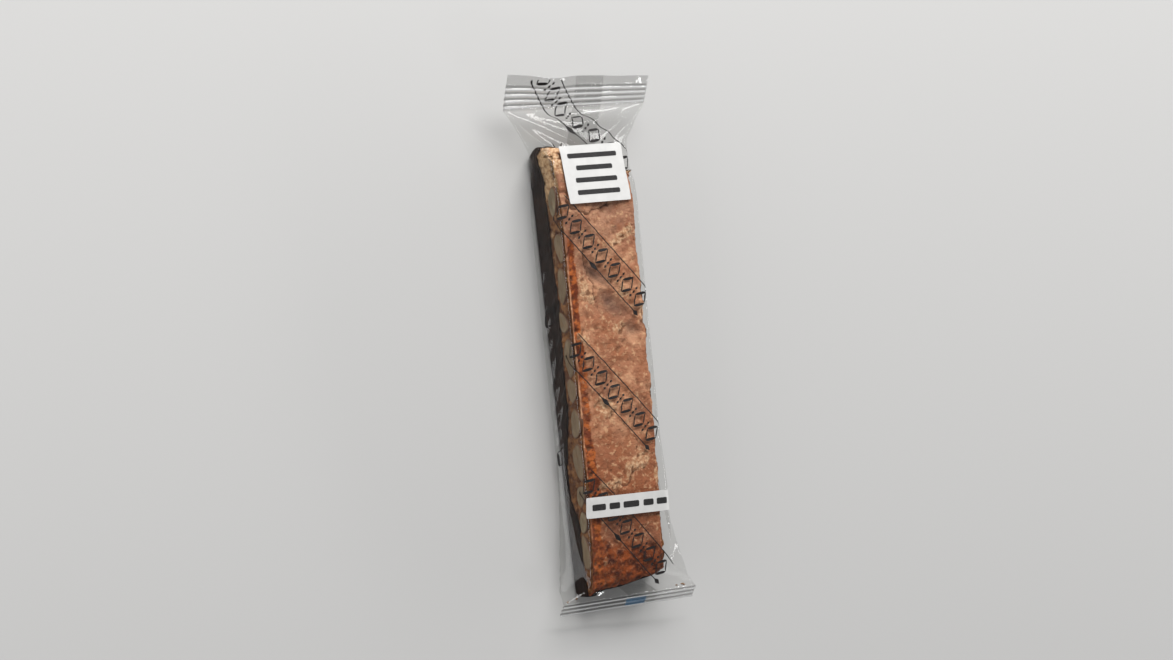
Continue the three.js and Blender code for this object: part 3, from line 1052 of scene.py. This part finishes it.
def crumb_relief(points, depth):
    """The same for the cut faces, `depth` below the crust, where the baked crumb shows its pores; the
    second value darkens its pores, creases and crack as painted shade.
    """
    y, z = points[:, 1], points[:, 2]
    pores = pits(y, z, 2.3, 91, 2.0) * smoothstep(-0.3, 0.2, value_noise(points, 7.0, 95))
    fine_pores = pits(y, z, 1.1, 101, 1.6)
    uneven = layered_noise(points, 6.5, 111, 4)
    torn = np.abs(layered_noise(points, 3.0, 117, 3))
    height = 0.5 * uneven + 0.9 * torn + 0.2 * layered_noise(points, 1.4, 115, 2) - 0.58
    groove = smoothstep(0.6, 1.4, depth) * smoothstep(3.4, 1.8, depth)
    pores = pores * smoothstep(58.0, 44.0, y)
    height -= 0.7 * pores + 0.22 * fine_pores + 0.45 * groove
    crack = np.exp(-(((y - END_CRACK["y"]) / END_CRACK["length"]) ** 4))
    crack = crack * np.exp(-(((z - END_CRACK["z"] - 0.5 * uneven) / END_CRACK["width"]) ** 2))
    height -= 1.6 * crack
    # painted shade: darker in the pores, in the creases of the torn crumb and in the crack
    dark = np.maximum(0.6 * pores, 0.5 * smoothstep(0.09, 0.0, torn))
    return height, np.maximum(np.maximum(dark, 0.45 * fine_pores), crack)


def make_biscotti(form):
    """The slice: crust relief above and at its ends, crumb relief at its cut faces."""
    size = (2 * BISCOTTI_HALF_WIDTH, HEAD_END_Y - FOOT_END_Y, BISCOTTI_HEIGHT)
    lattice, faces, _ = box_grid(*[round(reach / BISCOTTI_CELL) for reach in size])
    points = biscotti_form(form, lattice)
    normals = point_normals(points, faces)
    cut_share = smoothstep(0.55, 0.9, np.abs(normals[:, 0]))
    crust_height, values = crust_relief(points)
    crumb_height, crumb_pores = crumb_relief(points, form.crust_height(points[:, 1]) - points[:, 2])
    crumb_height -= 0.6 * under_almonds(form, points)
    height = blended(crust_height, crumb_height, cut_share)
    values["pits"] = blended(values["pits"], crumb_pores, cut_share)
    y = points[:, 1]
    crumb_pale = 0.25 * smoothstep(8.0, 24.0, y) + 0.75 * smoothstep(40.0, 52.0, y)
    values["pale"] = blended(values["pale"], crumb_pale, cut_share)
    edge = np.clip(1.0 - np.abs(np.abs(normals[:, 0]) - 0.6) / 0.4, 0.0, 1.0)
    height -= 1.3 * edge * smoothstep(-0.1, 0.6, layered_noise(points, 4.5, 121, 4))
    height = CREST_LIMIT * np.tanh(np.maximum(height, 0.0) / CREST_LIMIT) + np.minimum(height, 0.0)
    points = points + normals * height[:, None]
    materials = [crust_material(), crumb_material()]
    return new_mesh("biscotti", points, faces, materials, values, cut_faces(faces, cut_share))


def cut_faces(faces, cut_share):
    """1 for each face that lies on the cut, 0 for the crust."""
    return (cut_share[faces].mean(axis=1) > 0.5).astype(int)


# ---------------------------------------------------------------- almonds, chocolate and crumbs


def almond_places(form, rng):
    """Face, y, z, length, width and turn of every cut almond."""
    places = [(-1, *almond) for almond in NEAR_ALMONDS]
    spacing = (HEAD_END_Y - FOOT_END_Y - 2 * ALMOND_END_MARGIN) / FAR_ALMOND_COUNT
    for number in range(FAR_ALMOND_COUNT):
        shift = rng.uniform(*FAR_ALMOND_SHIFT)
        y = FOOT_END_Y + ALMOND_END_MARGIN + spacing * (number + 0.5) + shift
        length, width = rng.uniform(*FAR_ALMOND_LENGTH), rng.uniform(*FAR_ALMOND_WIDTH)
        drop = rng.uniform(*FAR_ALMOND_DROP)
        z = form.crust_height(y) - FAR_ALMOND_COVER - width / 2 - drop
        places.append((1, y, z, length, width, rng.uniform(*FAR_ALMOND_TURN)))
    return places


def under_almonds(form, points):
    """1 behind the middle of an almond, 0 at its rim and beyond it."""
    total = np.zeros(len(points))
    for face, y, z, length, width, turn in almond_places(form, np.random.default_rng(ALMOND_SEED)):
        u, v = in_oval(points[:, 1] - y, points[:, 2] - z, turn, length, width)
        covered = smoothstep(0.5, 0.34, np.hypot(u, v)) * (points[:, 0] * face > 0)
        total = np.maximum(total, covered)
    return total


def almond_shape(rng, face, y, z, length, width, turn):
    """A cut almond: a low dome on the cut face with a body behind it, and its brown skin as a rim."""
    proud = rng.uniform(*ALMOND_PROUD)
    point = rng.uniform(-ALMOND_POINT, ALMOND_POINT)
    phase = rng.uniform(0.0, 2 * math.pi, len(ALMOND_WAVES))
    turns = np.linspace(0.0, 2 * math.pi, ALMOND_CELLS, endpoint=False)
    rings = np.array(ALMOND_RINGS)[:, None]
    depths = np.array(ALMOND_RING_DEPTHS)[:, None]
    waves = [h * np.sin(count * turns + start) for (h, count), start in zip(ALMOND_WAVES, phase)]
    wobble = 1.0 + sum(waves)
    u = rings * (0.5 * length * np.cos(turns) * wobble)
    v = rings * (0.5 * width * np.sin(turns) * (1.0 - point * np.cos(turns)) * wobble)
    split = np.exp(-((v / ALMOND_SPLIT["width"]) ** 2)) * (rings < 0.9)
    split = split * (np.abs(u) < ALMOND_SPLIT["reach"] * length)
    inward = depths * ALMOND_DEPTH - proud + ALMOND_SPLIT["depth"] * split
    c, s = math.cos(turn), math.sin(turn)
    places = [face * (BISCOTTI_HALF_WIDTH - inward), y + u * c - v * s, z + u * s + v * c]
    skin = np.broadcast_to(smoothstep(0.86, 0.96, rings), split.shape)
    return np.stack(places, axis=-1), skin, split


def disc_faces(rings, around, outward):
    """Quads of a disc of rings, which two fans of one more point each close."""
    index = np.arange(rings * around).reshape(rings, around)
    right = np.roll(index, -1, axis=1)
    first, last = rings * around, rings * around + 1
    faces = [list(quad) for quad in tube_faces(index)]
    faces += [[first, a, b] for a, b in zip(index[0], right[0])]
    faces += [[last, b, a] for a, b in zip(index[-1], right[-1])]
    return faces if outward else [face[::-1] for face in faces]


def make_almonds(form):
    """All the cut almonds as one mesh, each closed in itself."""
    rng = np.random.default_rng(ALMOND_SEED)
    all_points, all_faces = [], []
    values = dict(skin=[], split=[], shade=[])
    count = 0
    for face, *place in almond_places(form, rng):
        points, skin, split = almond_shape(rng, face, *place)
        rings, around = points.shape[:2]
        all_points += [points.reshape(-1, 3), points[[0, -1]].mean(axis=1)]
        disc = disc_faces(rings, around, face > 0)
        all_faces += [[corner + count for corner in corners] for corners in disc]
        count += rings * around + 2
        values["skin"] += [*skin.ravel(), 0.0, 1.0]
        values["split"] += [*split.ravel(), 1.0, 0.0]
        values["shade"] += [rng.uniform()] * (rings * around + 2)
    return new_mesh("almonds", np.concatenate(all_points), all_faces, [almond_material()], values)


def eased(value, places):
    """Goes from one given place to the next in soft steps, level at each."""
    at, height = np.array(places).T
    part = np.clip(np.searchsorted(at, value) - 1, 0, len(at) - 2)
    return height[part] + (height[part + 1] - height[part]) * smoothstep(at[part], at[part + 1], value)


def chocolate_line(x, y):
    """How high the chocolate reaches, from its height at the two cut faces."""
    near = eased(y, NEAR_CHOCOLATE)
    far = eased(y, FAR_CHOCOLATE)
    share = (x / BISCOTTI_HALF_WIDTH + 1.0) / 2
    place = np.stack([x, y, np.zeros_like(x)], axis=-1)
    height, size = CHOCOLATE_WAVES
    return near + (far - near) * share + height * layered_noise(place, size, 131, 3)


def make_chocolate(form):
    """A thin dipped coat: a tray round the base and lower sides, with a soft wavy brim."""
    size = (2 * BISCOTTI_HALF_WIDTH, HEAD_END_Y - FOOT_END_Y)
    cells = [round(reach / CHOCOLATE_CELL) for reach in size]
    lattice, faces, sides = box_grid(*cells, CHOCOLATE_ROWS)
    tray = faces[sides != TOP_SIDE]
    plain = biscotti_form(form, lattice)
    line = chocolate_line(plain[:, 0], plain[:, 1])
    height = form.crust_height(plain[:, 1]) - BISCOTTI_BASE
    brim = 2.0 * (line - BISCOTTI_BASE) / height - 1.0
    below = (1.0 - lattice[:, 2]) / 2 * (line - BISCOTTI_BASE)
    lowered = lattice.copy()
    lowered[:, 2] = -1.0 + (lattice[:, 2] + 1.0) / 2 * (brim + 1.0)
    skin = biscotti_form(form, lowered)
    normals = point_normals(skin, faces)
    normals[:, 2] = np.minimum(normals[:, 2], 0.0)
    normals = unit(normals)
    rounding = np.sqrt(1.0 - (1.0 - np.clip(below / CHOCOLATE_BRIM, 0.0, 1.0)) ** 2)
    unevenness, lump_size = CHOCOLATE_LUMPS
    at_side = normals[:, 2] > -0.5
    lumps = 1.0 + unevenness * layered_noise(skin, lump_size, 141, 3) * at_side
    thickness = CHOCOLATE_THICKNESS * lumps * (BRIM_THICKNESS + (1.0 - BRIM_THICKNESS) * rounding)
    outer = skin + normals * thickness[:, None]
    inner = skin - normals * CHOCOLATE_DEPTH
    points, closed = closed_shell(outer, inner, tray)
    return new_mesh("chocolate_coat", points, closed, [chocolate_material()])


def closed_shell(outer, inner, faces):
    """Joins an outer and an inner sheet of the same faces along their free edges."""
    used = np.unique(faces)
    renumber = -np.ones(len(outer), int)
    renumber[used] = np.arange(len(used))
    sheet = renumber[faces]
    edges = np.concatenate([sheet[:, [k, (k + 1) % 4]] for k in range(4)])
    present = set(map(tuple, edges))
    free = np.array([edge for edge in map(tuple, edges) if edge[::-1] not in present])
    count = len(used)
    bridge = np.stack([free[:, 1], free[:, 0], free[:, 0] + count, free[:, 1] + count], axis=-1)
    points = np.concatenate([outer[used], inner[used]])
    return points, np.concatenate([sheet, sheet[:, ::-1] + count, bridge])


def crumb_lump(rng, size):
    """One crumb: a small uneven lump, as points and quads."""
    lattice, faces, _ = box_grid(3, 3, 3)
    points = lattice / np.linalg.norm(lattice, axis=1, keepdims=True)
    points = points * (1.0 + rng.uniform(-0.22, 0.22, (len(points), 1)))
    return points * size * rng.uniform(0.6, 1.0, 3), faces


def make_crumbs(film):
    """Crumbs that lie inside the film, to either side of the pack's foot."""
    rng = np.random.default_rng(CRUMB_SEED)
    all_points, all_faces = [], []
    count = 0
    for _ in range(CRUMB_COUNT):
        size = rng.uniform(*CRUMB_SIZE)
        around = rng.choice((-1.0, 1.0)) * rng.uniform(*CRUMB_ROUND)
        along = rng.uniform(*CRUMB_ALONG)
        points, faces = crumb_lump(rng, size)
        all_points.append(points + film.at(np.array([[around, along]]), -size - CRUMB_GAP))
        all_faces.append(faces + count)
        count += len(points)
    points, faces = np.concatenate(all_points), np.concatenate(all_faces)
    return new_mesh("crumbs", points, faces, [loose_crumb_material()])


# ---------------------------------------------------------------- materials

NOISE_ROUGHNESS = 0.55
FILM_ROUGHNESS = 0.06
FILM_GLOSS = (0.024, 0.8, 6.0)  # face on, how much more at grazing, and how late that sets in
CREST_FROST_AND_HIGHLIGHT = 0.35  # how white the crests of the seal ridges are: partly frost, partly a painted highlight
INK_COLOURS = dict(
    print_ink=(0.012, 0.010, 0.010),
    eye_mark_ink=(0.10, 0.17, 0.25),
    label_ink=(0.02, 0.019, 0.019),
)


class Nodes:
    """A new material's node tree, with short calls for the nodes that the materials here use.

    Colours are linear red, green and blue.
    """

    def __init__(self, name):
        self.material = bpy.data.materials.new(name)
        self.material.use_nodes = True
        self.tree = self.material.node_tree
        self.tree.nodes.clear()

    def put(self, socket, value):
        """Links a socket to another node's output, or sets its own value; colours are tuples."""
        if isinstance(value, bpy.types.NodeSocket):
            self.tree.links.new(value, socket)
        elif isinstance(value, tuple):
            socket.default_value = (*value, 1.0)
        else:
            socket.default_value = value

    def node(self, kind, inputs, result=0, **settings):
        """The result of a new node, from its inputs by name or number."""
        node = self.tree.nodes.new("ShaderNode" + kind)
        for name, value in settings.items():
            setattr(node, name, value)
        for name, value in inputs.items():
            self.put(node.inputs[name], value)
        return node.outputs[result]

    def attribute(self, name):
        return self.node("Attribute", {}, "Fac", attribute_name=name)

    def math(self, operation, *values):
        return self.node("Math", dict(enumerate(values)), operation=operation)

    def noise(self, size_mm, detail=3.0, stretch=(1, 1, 1)):
        """Noise from 0 to 1 whose lumps are about size_mm across, in the piece's own space."""
        scale = [s / (size_mm * MM) for s in stretch]
        place = self.node("Mapping", {"Vector": self.node("TexCoord", {}, "Object"), "Scale": scale})
        inputs = {"Vector": place, "Scale": 1.0, "Detail": detail, "Roughness": NOISE_ROUGHNESS}
        return self.node("TexNoise", inputs)

    def ramp(self, value, low, high):
        """0 at low and below, 1 at high and above."""
        inputs = {"Value": value, "From Min": low, "From Max": high}
        return self.node("MapRange", inputs, "Result", interpolation_type="SMOOTHSTEP")

    def specks(self, size_mm, detail, low, high, strength=1.0):
        """A mask of specks of about the given size, where noise rises from low to high."""
        return self.math("MULTIPLY", self.ramp(self.noise(size_mm, detail), low, high), strength)

    def stored(self, name, strength=1.0):
        """A value stored with the mesh as a mask."""
        return self.math("MULTIPLY", self.attribute(name), strength)

    def ragged(self, name, size_mm, low, high, breaking=1.3, strength=1.0):
        """A stored value as a mask whose edges noise of the given size breaks up."""
        broken = self.math("MULTIPLY_ADD", self.noise(size_mm, 4.0), breaking, -breaking / 2)
        mask = self.ramp(self.math("ADD", self.attribute(name), broken), low, high)
        return self.math("MULTIPLY", mask, strength)

    def mix(self, share, first, second):
        inputs = {"Factor": share, "A": first, "B": second}
        return self.node("Mix", inputs, "Result", data_type="RGBA")

    def layered(self, colour, layers):
        """A colour with others laid over it in turn, each through its mask."""
        for mask, laid in layers:
            colour = self.mix(mask, colour, laid)
        return colour

    def bump(self, height, depth_mm):
        return self.node("Bump", {"Distance": depth_mm * MM, "Height": height})

    def surface(self, colour, roughness, bump=None, specular=0.5):
        """Ends the tree with a Principled shader."""
        inputs = {"Base Color": colour, "Roughness": roughness, "Specular IOR Level": specular}
        if bump is not None:
            inputs["Normal"] = bump
        return self.finish(self.node("BsdfPrincipled", inputs))

    def blend(self, share, first, second):
        """From one shader to another."""
        return self.node("MixShader", {0: share, 1: first, 2: second})

    def finish(self, shader):
        output = self.tree.nodes.new("ShaderNodeOutputMaterial")
        self.put(output.inputs["Surface"], shader)
        return self.material


def crust_material():
    """Baked skin: tan, browned strip and foot, cream flakes; painted shade darkens its head end, its
    dents, pits and cracks.
    """
    n = Nodes("crust")
    tan = n.mix(n.specks(11.0, 3.0, 0.4, 0.6), (0.36, 0.148, 0.075), (0.56, 0.280, 0.154))
    orange = n.mix(n.specks(2.2, 4.0, 0.4, 0.58), (0.39, 0.098, 0.018), (0.135, 0.025, 0.005))
    caramel = n.mix(n.specks(3.0, 5.0, 0.36, 0.66), (0.048, 0.008, 0.0016), (0.27, 0.056, 0.008))
    flecked = n.mix(n.specks(1.0, 4.0, 0.54, 0.66, 0.35), caramel, (0.42, 0.17, 0.078))
    cream = n.mix(n.specks(0.8, 3.0, 0.4, 0.6), (0.42, 0.215, 0.105), (0.70, 0.47, 0.28))
    off_strip = n.math("MULTIPLY_ADD", n.attribute("strip"), -0.6, 1.0)
    baked_foot = n.math("MULTIPLY", n.ragged("foot", 2.4, 0.25, 0.75, 0.9), off_strip)
    colour = n.layered(tan, (
        # painted shade: darker towards the head end
        (n.stored("dusty", 0.5), (0.26, 0.125, 0.080)),
        (n.stored("warm", 0.9), (0.238, 0.070, 0.025)),
        (n.specks(4.6, 4.0, 0.48, 0.64, 0.6), (0.31, 0.105, 0.042)),
        (n.specks(1.9, 5.0, 0.5, 0.66, 0.5), (0.25, 0.082, 0.034)),
        (n.specks(1.4, 4.0, 0.52, 0.68, 0.6), (0.64, 0.37, 0.200)),
        # painted shade in the dents
        (n.stored("dents_and_painted_shade", 0.9), (0.14, 0.070, 0.048)),
        (n.ragged("strip", 1.6, 0.3, 0.7, 0.9), orange),
        (baked_foot, flecked),
        (n.ragged("flaking", 0.9, 0.3, 0.85, 1.5, 0.64), cream),
        (n.ragged("pale", 2.0, 0.3, 0.7), cream),
        # painted shade in the pits and cracks
        (n.ramp(n.attribute("pits"), 0.15, 0.75), (0.14, 0.046, 0.016)),
        (n.stored("cracks", 0.8), (0.10, 0.035, 0.015)),
    ))
    lumps = n.math("MULTIPLY_ADD", n.noise(1.9, 4.0), 1.1, n.noise(0.7, 3.0))
    return n.surface(colour, 0.72, n.bump(lumps, 0.33), 0.25)


def crumb_material():
    """The cut crumb: brown and golden, darker than its own colour as painted shade of the cut faces,
    with pores darker as painted shade, and pale towards the head end.
    """
    n = Nodes("crumb")
    # partly painted shade: these crumb colours are darker than the crumb's own, for the shaded cut faces
    gold = n.mix(n.specks(3.4, 4.0, 0.38, 0.62), (0.095, 0.034, 0.010), (0.225, 0.100, 0.036))
    brown = n.mix(n.specks(1.5, 5.0, 0.46, 0.64), gold, (0.075, 0.024, 0.008))
    pale = n.mix(n.specks(0.9, 5.0, 0.33, 0.67), (0.30, 0.168, 0.078), (0.52, 0.35, 0.195))
    colour = n.layered(brown, (
        (n.ragged("pale", 2.0, 0.3, 0.7), pale),
        # painted shade in the pores, creases and crack
        (n.ramp(n.attribute("pits"), 0.1, 0.9), (0.035, 0.012, 0.005)),
    ))
    lumps = n.math("MULTIPLY_ADD", n.noise(1.5, 4.0), 1.2, n.noise(0.6, 4.0))
    return n.surface(colour, 0.9, n.bump(lumps, 0.4), 0.2)


def almond_material():
    """Cut nut flesh, darker than its own colour as painted shade of the cut faces, some of it darker,
    with a faint split painted darker as shade in its groove, and a rim of brown skin.
    """
    n = Nodes("almond")
    grain = n.ramp(n.noise(1.8, 3.0, stretch=(1, 0.4, 1)), 0.35, 0.65)
    # partly painted shade: the flesh is darker than almond's own colour, for the shaded cut faces
    colour = n.layered(n.mix(grain, (0.125, 0.093, 0.050), (0.225, 0.176, 0.102)), (
        (n.stored("shade", 0.7), (0.155, 0.094, 0.050)),
        (n.specks(2.4, 4.0, 0.5, 0.7, 0.5), (0.17, 0.088, 0.036)),
        # painted shade in the groove of the split
        (n.stored("split", 0.4), (0.14, 0.078, 0.040)),
        (n.stored("skin"), (0.095, 0.040, 0.018)),
    ))
    return n.surface(colour, 0.55, n.bump(n.noise(0.5, 3.0), 0.08), 0.3)


def chocolate_material():
    """Dark chocolate with a soft, uneven sheen."""
    n = Nodes("chocolate")
    dark = n.mix(n.specks(4.0, 4.0, 0.35, 0.7), (0.007, 0.0030, 0.0018), (0.018, 0.0080, 0.0045))
    roughness = n.ramp(n.noise(3.0), -0.8, 1.4)
    return n.surface(dark, roughness, n.bump(n.noise(1.2, 3.0), 0.08), 0.08)


def loose_crumb_material():
    n = Nodes("loose_crumb")
    tan = n.mix(n.specks(0.8, 3.0, 0.4, 0.6), (0.26, 0.155, 0.085), (0.17, 0.09, 0.045))
    return n.surface(tan, 0.9)


def paper_material():
    """Smooth coated label paper with a hint of tooth."""
    n = Nodes("label_paper")
    white = n.mix(n.specks(3.0, 3.0, 0.3, 0.7), (0.51, 0.503, 0.488), (0.55, 0.542, 0.526))
    return n.surface(white, 0.5, n.bump(n.noise(0.25, 2.0), 0.01))


def ink_material(name):
    """Printing ink: almost even, slightly thinner in specks."""
    n = Nodes(name)
    colour = INK_COLOURS[name]
    worn = tuple(2.0 * c for c in colour)
    return n.surface(n.mix(n.specks(0.6, 2.0, 0.5, 0.8), colour, worn), 0.6, specular=0.2)


def film_material():
    """Thin clear film: light goes straight through, with a gloss that grows towards grazing.

    The pressed ridges of the seals are white on their crests, partly frost and partly a painted
    highlight, and darker between them as painted shade.
    """
    n = Nodes("film")
    # painted shade: the film is tinted darker in the grooves between the seal ridges
    groove = n.ramp(n.attribute("crest"), 0.2, -0.8)
    crest = n.math("MULTIPLY", n.ramp(n.attribute("crest"), 0.2, 0.9), CREST_FROST_AND_HIGHLIGHT)
    sealed = n.mix(groove, (0.84, 0.84, 0.835), (0.66, 0.66, 0.655))
    tint = n.mix(n.attribute("seal"), (0.93, 0.93, 0.925), sealed)
    clear = n.node("BsdfTransparent", {"Color": tint})
    crest_frost_and_highlight = n.node("BsdfDiffuse", {"Color": (0.9, 0.9, 0.9)})
    gloss = n.node("BsdfGlossy", {"Color": (1.0, 1.0, 1.0), "Roughness": FILM_ROUGHNESS})
    face_on, grazing, lateness = FILM_GLOSS
    late = n.math("POWER", n.node("LayerWeight", {}, "Facing"), lateness)
    share = n.math("MULTIPLY_ADD", late, grazing, face_on)
    return n.finish(n.blend(share, n.blend(crest, clear, crest_frost_and_highlight), gloss))


# ---------------------------------------------------------------- floor, lights and camera

PHOTO_SIZE = (1173, 660)
PACK_IN_PHOTO = (600.3, 339.9)  # the middle of the pack, in the photograph's pixels
SENSOR_WIDTH = 36.0
LENS = 81.0
CAMERA_DISTANCE = 811.0
CAMERA_YAW = math.radians(30.0)
CAMERA_ROLL = math.radians(6.2)
PACK_MIDDLE_HEIGHT = 9.0

FLOOR_REACH = 3000.0
FLOOR_COLOUR = (0.46, 0.455, 0.445)
WORLD_COLOUR = (0.93, 0.95, 1.0, 1.0)
WORLD_STRENGTH = 0.2
LIGHT_AIM = (0.0, 0.0, 0.0)
# Each light: where it stands, its size and its watts.
LIGHTS = dict(
    key=((80, 740, 660), (900, 500), 16.0),
    left_panel=((-740, 0, 200), (1100, 300), 3.4),
    right_strip=((760, 0, 150), (1000, 60), 2.4),
    foot_strip=((520, -740, 490), (300, 40), 1.1),
)


def make_camera():
    """Looks down on the pack from its -X side, at the photograph's viewing angle."""
    towards = Vector((-math.sin(CAMERA_YAW), 0.0, math.cos(CAMERA_YAW)))
    level = Vector((math.cos(CAMERA_YAW), 0.0, math.sin(CAMERA_YAW)))
    along = Vector((0.0, 1.0, 0.0))
    right = math.cos(CAMERA_ROLL) * level - math.sin(CAMERA_ROLL) * along
    up = math.cos(CAMERA_ROLL) * along + math.sin(CAMERA_ROLL) * level
    pixels_per_mm = PHOTO_SIZE[0] / SENSOR_WIDTH * LENS / CAMERA_DISTANCE
    offset_right = (PACK_IN_PHOTO[0] - PHOTO_SIZE[0] / 2) / pixels_per_mm
    offset_down = (PACK_IN_PHOTO[1] - PHOTO_SIZE[1] / 2) / pixels_per_mm
    target = Vector((0.0, 0.0, PACK_MIDDLE_HEIGHT)) - offset_right * right + offset_down * up
    place = target + CAMERA_DISTANCE * towards
    data = bpy.data.cameras.new("camera")
    data.sensor_width = SENSOR_WIDTH
    data.lens = LENS
    data.clip_start = 0.01
    data.clip_end = 20.0
    camera = bpy.data.objects.new("camera", data)
    turn = Matrix((right, up, towards)).transposed().to_4x4()
    camera.matrix_world = Matrix.Translation(place * MM) @ turn
    bpy.context.scene.collection.objects.link(camera)
    bpy.context.scene.camera = camera


def make_floor():
    corners = [(x * FLOOR_REACH, y * FLOOR_REACH, 0.0) for x, y in ((-1, -1), (1, -1), (1, 1), (-1, 1))]
    floor = new_mesh("floor", corners, [(0, 1, 2, 3)], [Nodes("floor").surface(FLOOR_COLOUR, 0.7)])


def area_light(name, place_mm, size_mm, watts):
    data = bpy.data.lights.new(name, "AREA")
    data.shape = "RECTANGLE"
    data.size, data.size_y = size_mm[0] * MM, size_mm[1] * MM
    data.energy = watts
    light = bpy.data.objects.new(name, data)
    place, aim = Vector(place_mm) * MM, Vector(LIGHT_AIM) * MM
    light.location = place
    light.rotation_euler = (aim - place).to_track_quat("-Z", "Y").to_euler()
    bpy.context.scene.collection.objects.link(light)


def make_lights():
    """A key light from above the head, weaker ones from the sides and the foot, and a faint sky."""
    for name, light in LIGHTS.items():
        area_light(name, *light)
    world = bpy.data.worlds.new("studio")
    world.use_nodes = True
    sky = world.node_tree.nodes["Background"]
    sky.inputs["Color"].default_value = WORLD_COLOUR
    sky.inputs["Strength"].default_value = WORLD_STRENGTH
    bpy.context.scene.world = world
    bpy.context.scene.view_settings.view_transform = "Standard"


# ---------------------------------------------------------------- assembly


def make_pieces():
    """Every piece of the object, with its material slot and the CAD node that it replaces."""
    form = PackForm()
    film = Film(form)
    film.settle()
    upper = [((0.0, y), (width, UPPER_LINE_HEIGHT)) for width, y in UPPER_LINES]
    lower = [((x, 0.0), (width, LOWER_LINE_HEIGHT)) for x, width in LOWER_WORDS]
    return [
        (make_film(film), "film", "film_pack"),
        (make_fin_seal(film), "film", None),
        (make_print(film), "ink", None),
        (make_eye_mark(film), "ink", None),
        (make_label("upper_sticker", film, UPPER_LABEL), "label", "label_upper"),
        (make_label("lower_sticker", film, LOWER_LABEL), "label", "label_lower"),
        (make_label_lines("upper_sticker_lines", film, UPPER_LABEL, upper), "ink", None),
        (make_label_lines("lower_sticker_lines", film, LOWER_LABEL, lower), "ink", None),
        (make_biscotti(form), "crust", None),
        (make_almonds(form), "almond", None),
        (make_chocolate(form), "chocolate", None),
        (make_crumbs(film), "crumb", None),
    ]


def main():
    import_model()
    for piece, slot, node in make_pieces():
        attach(piece, "root")
        if node:
            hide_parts(node)
    make_floor()
    make_lights()
    make_camera()


main()
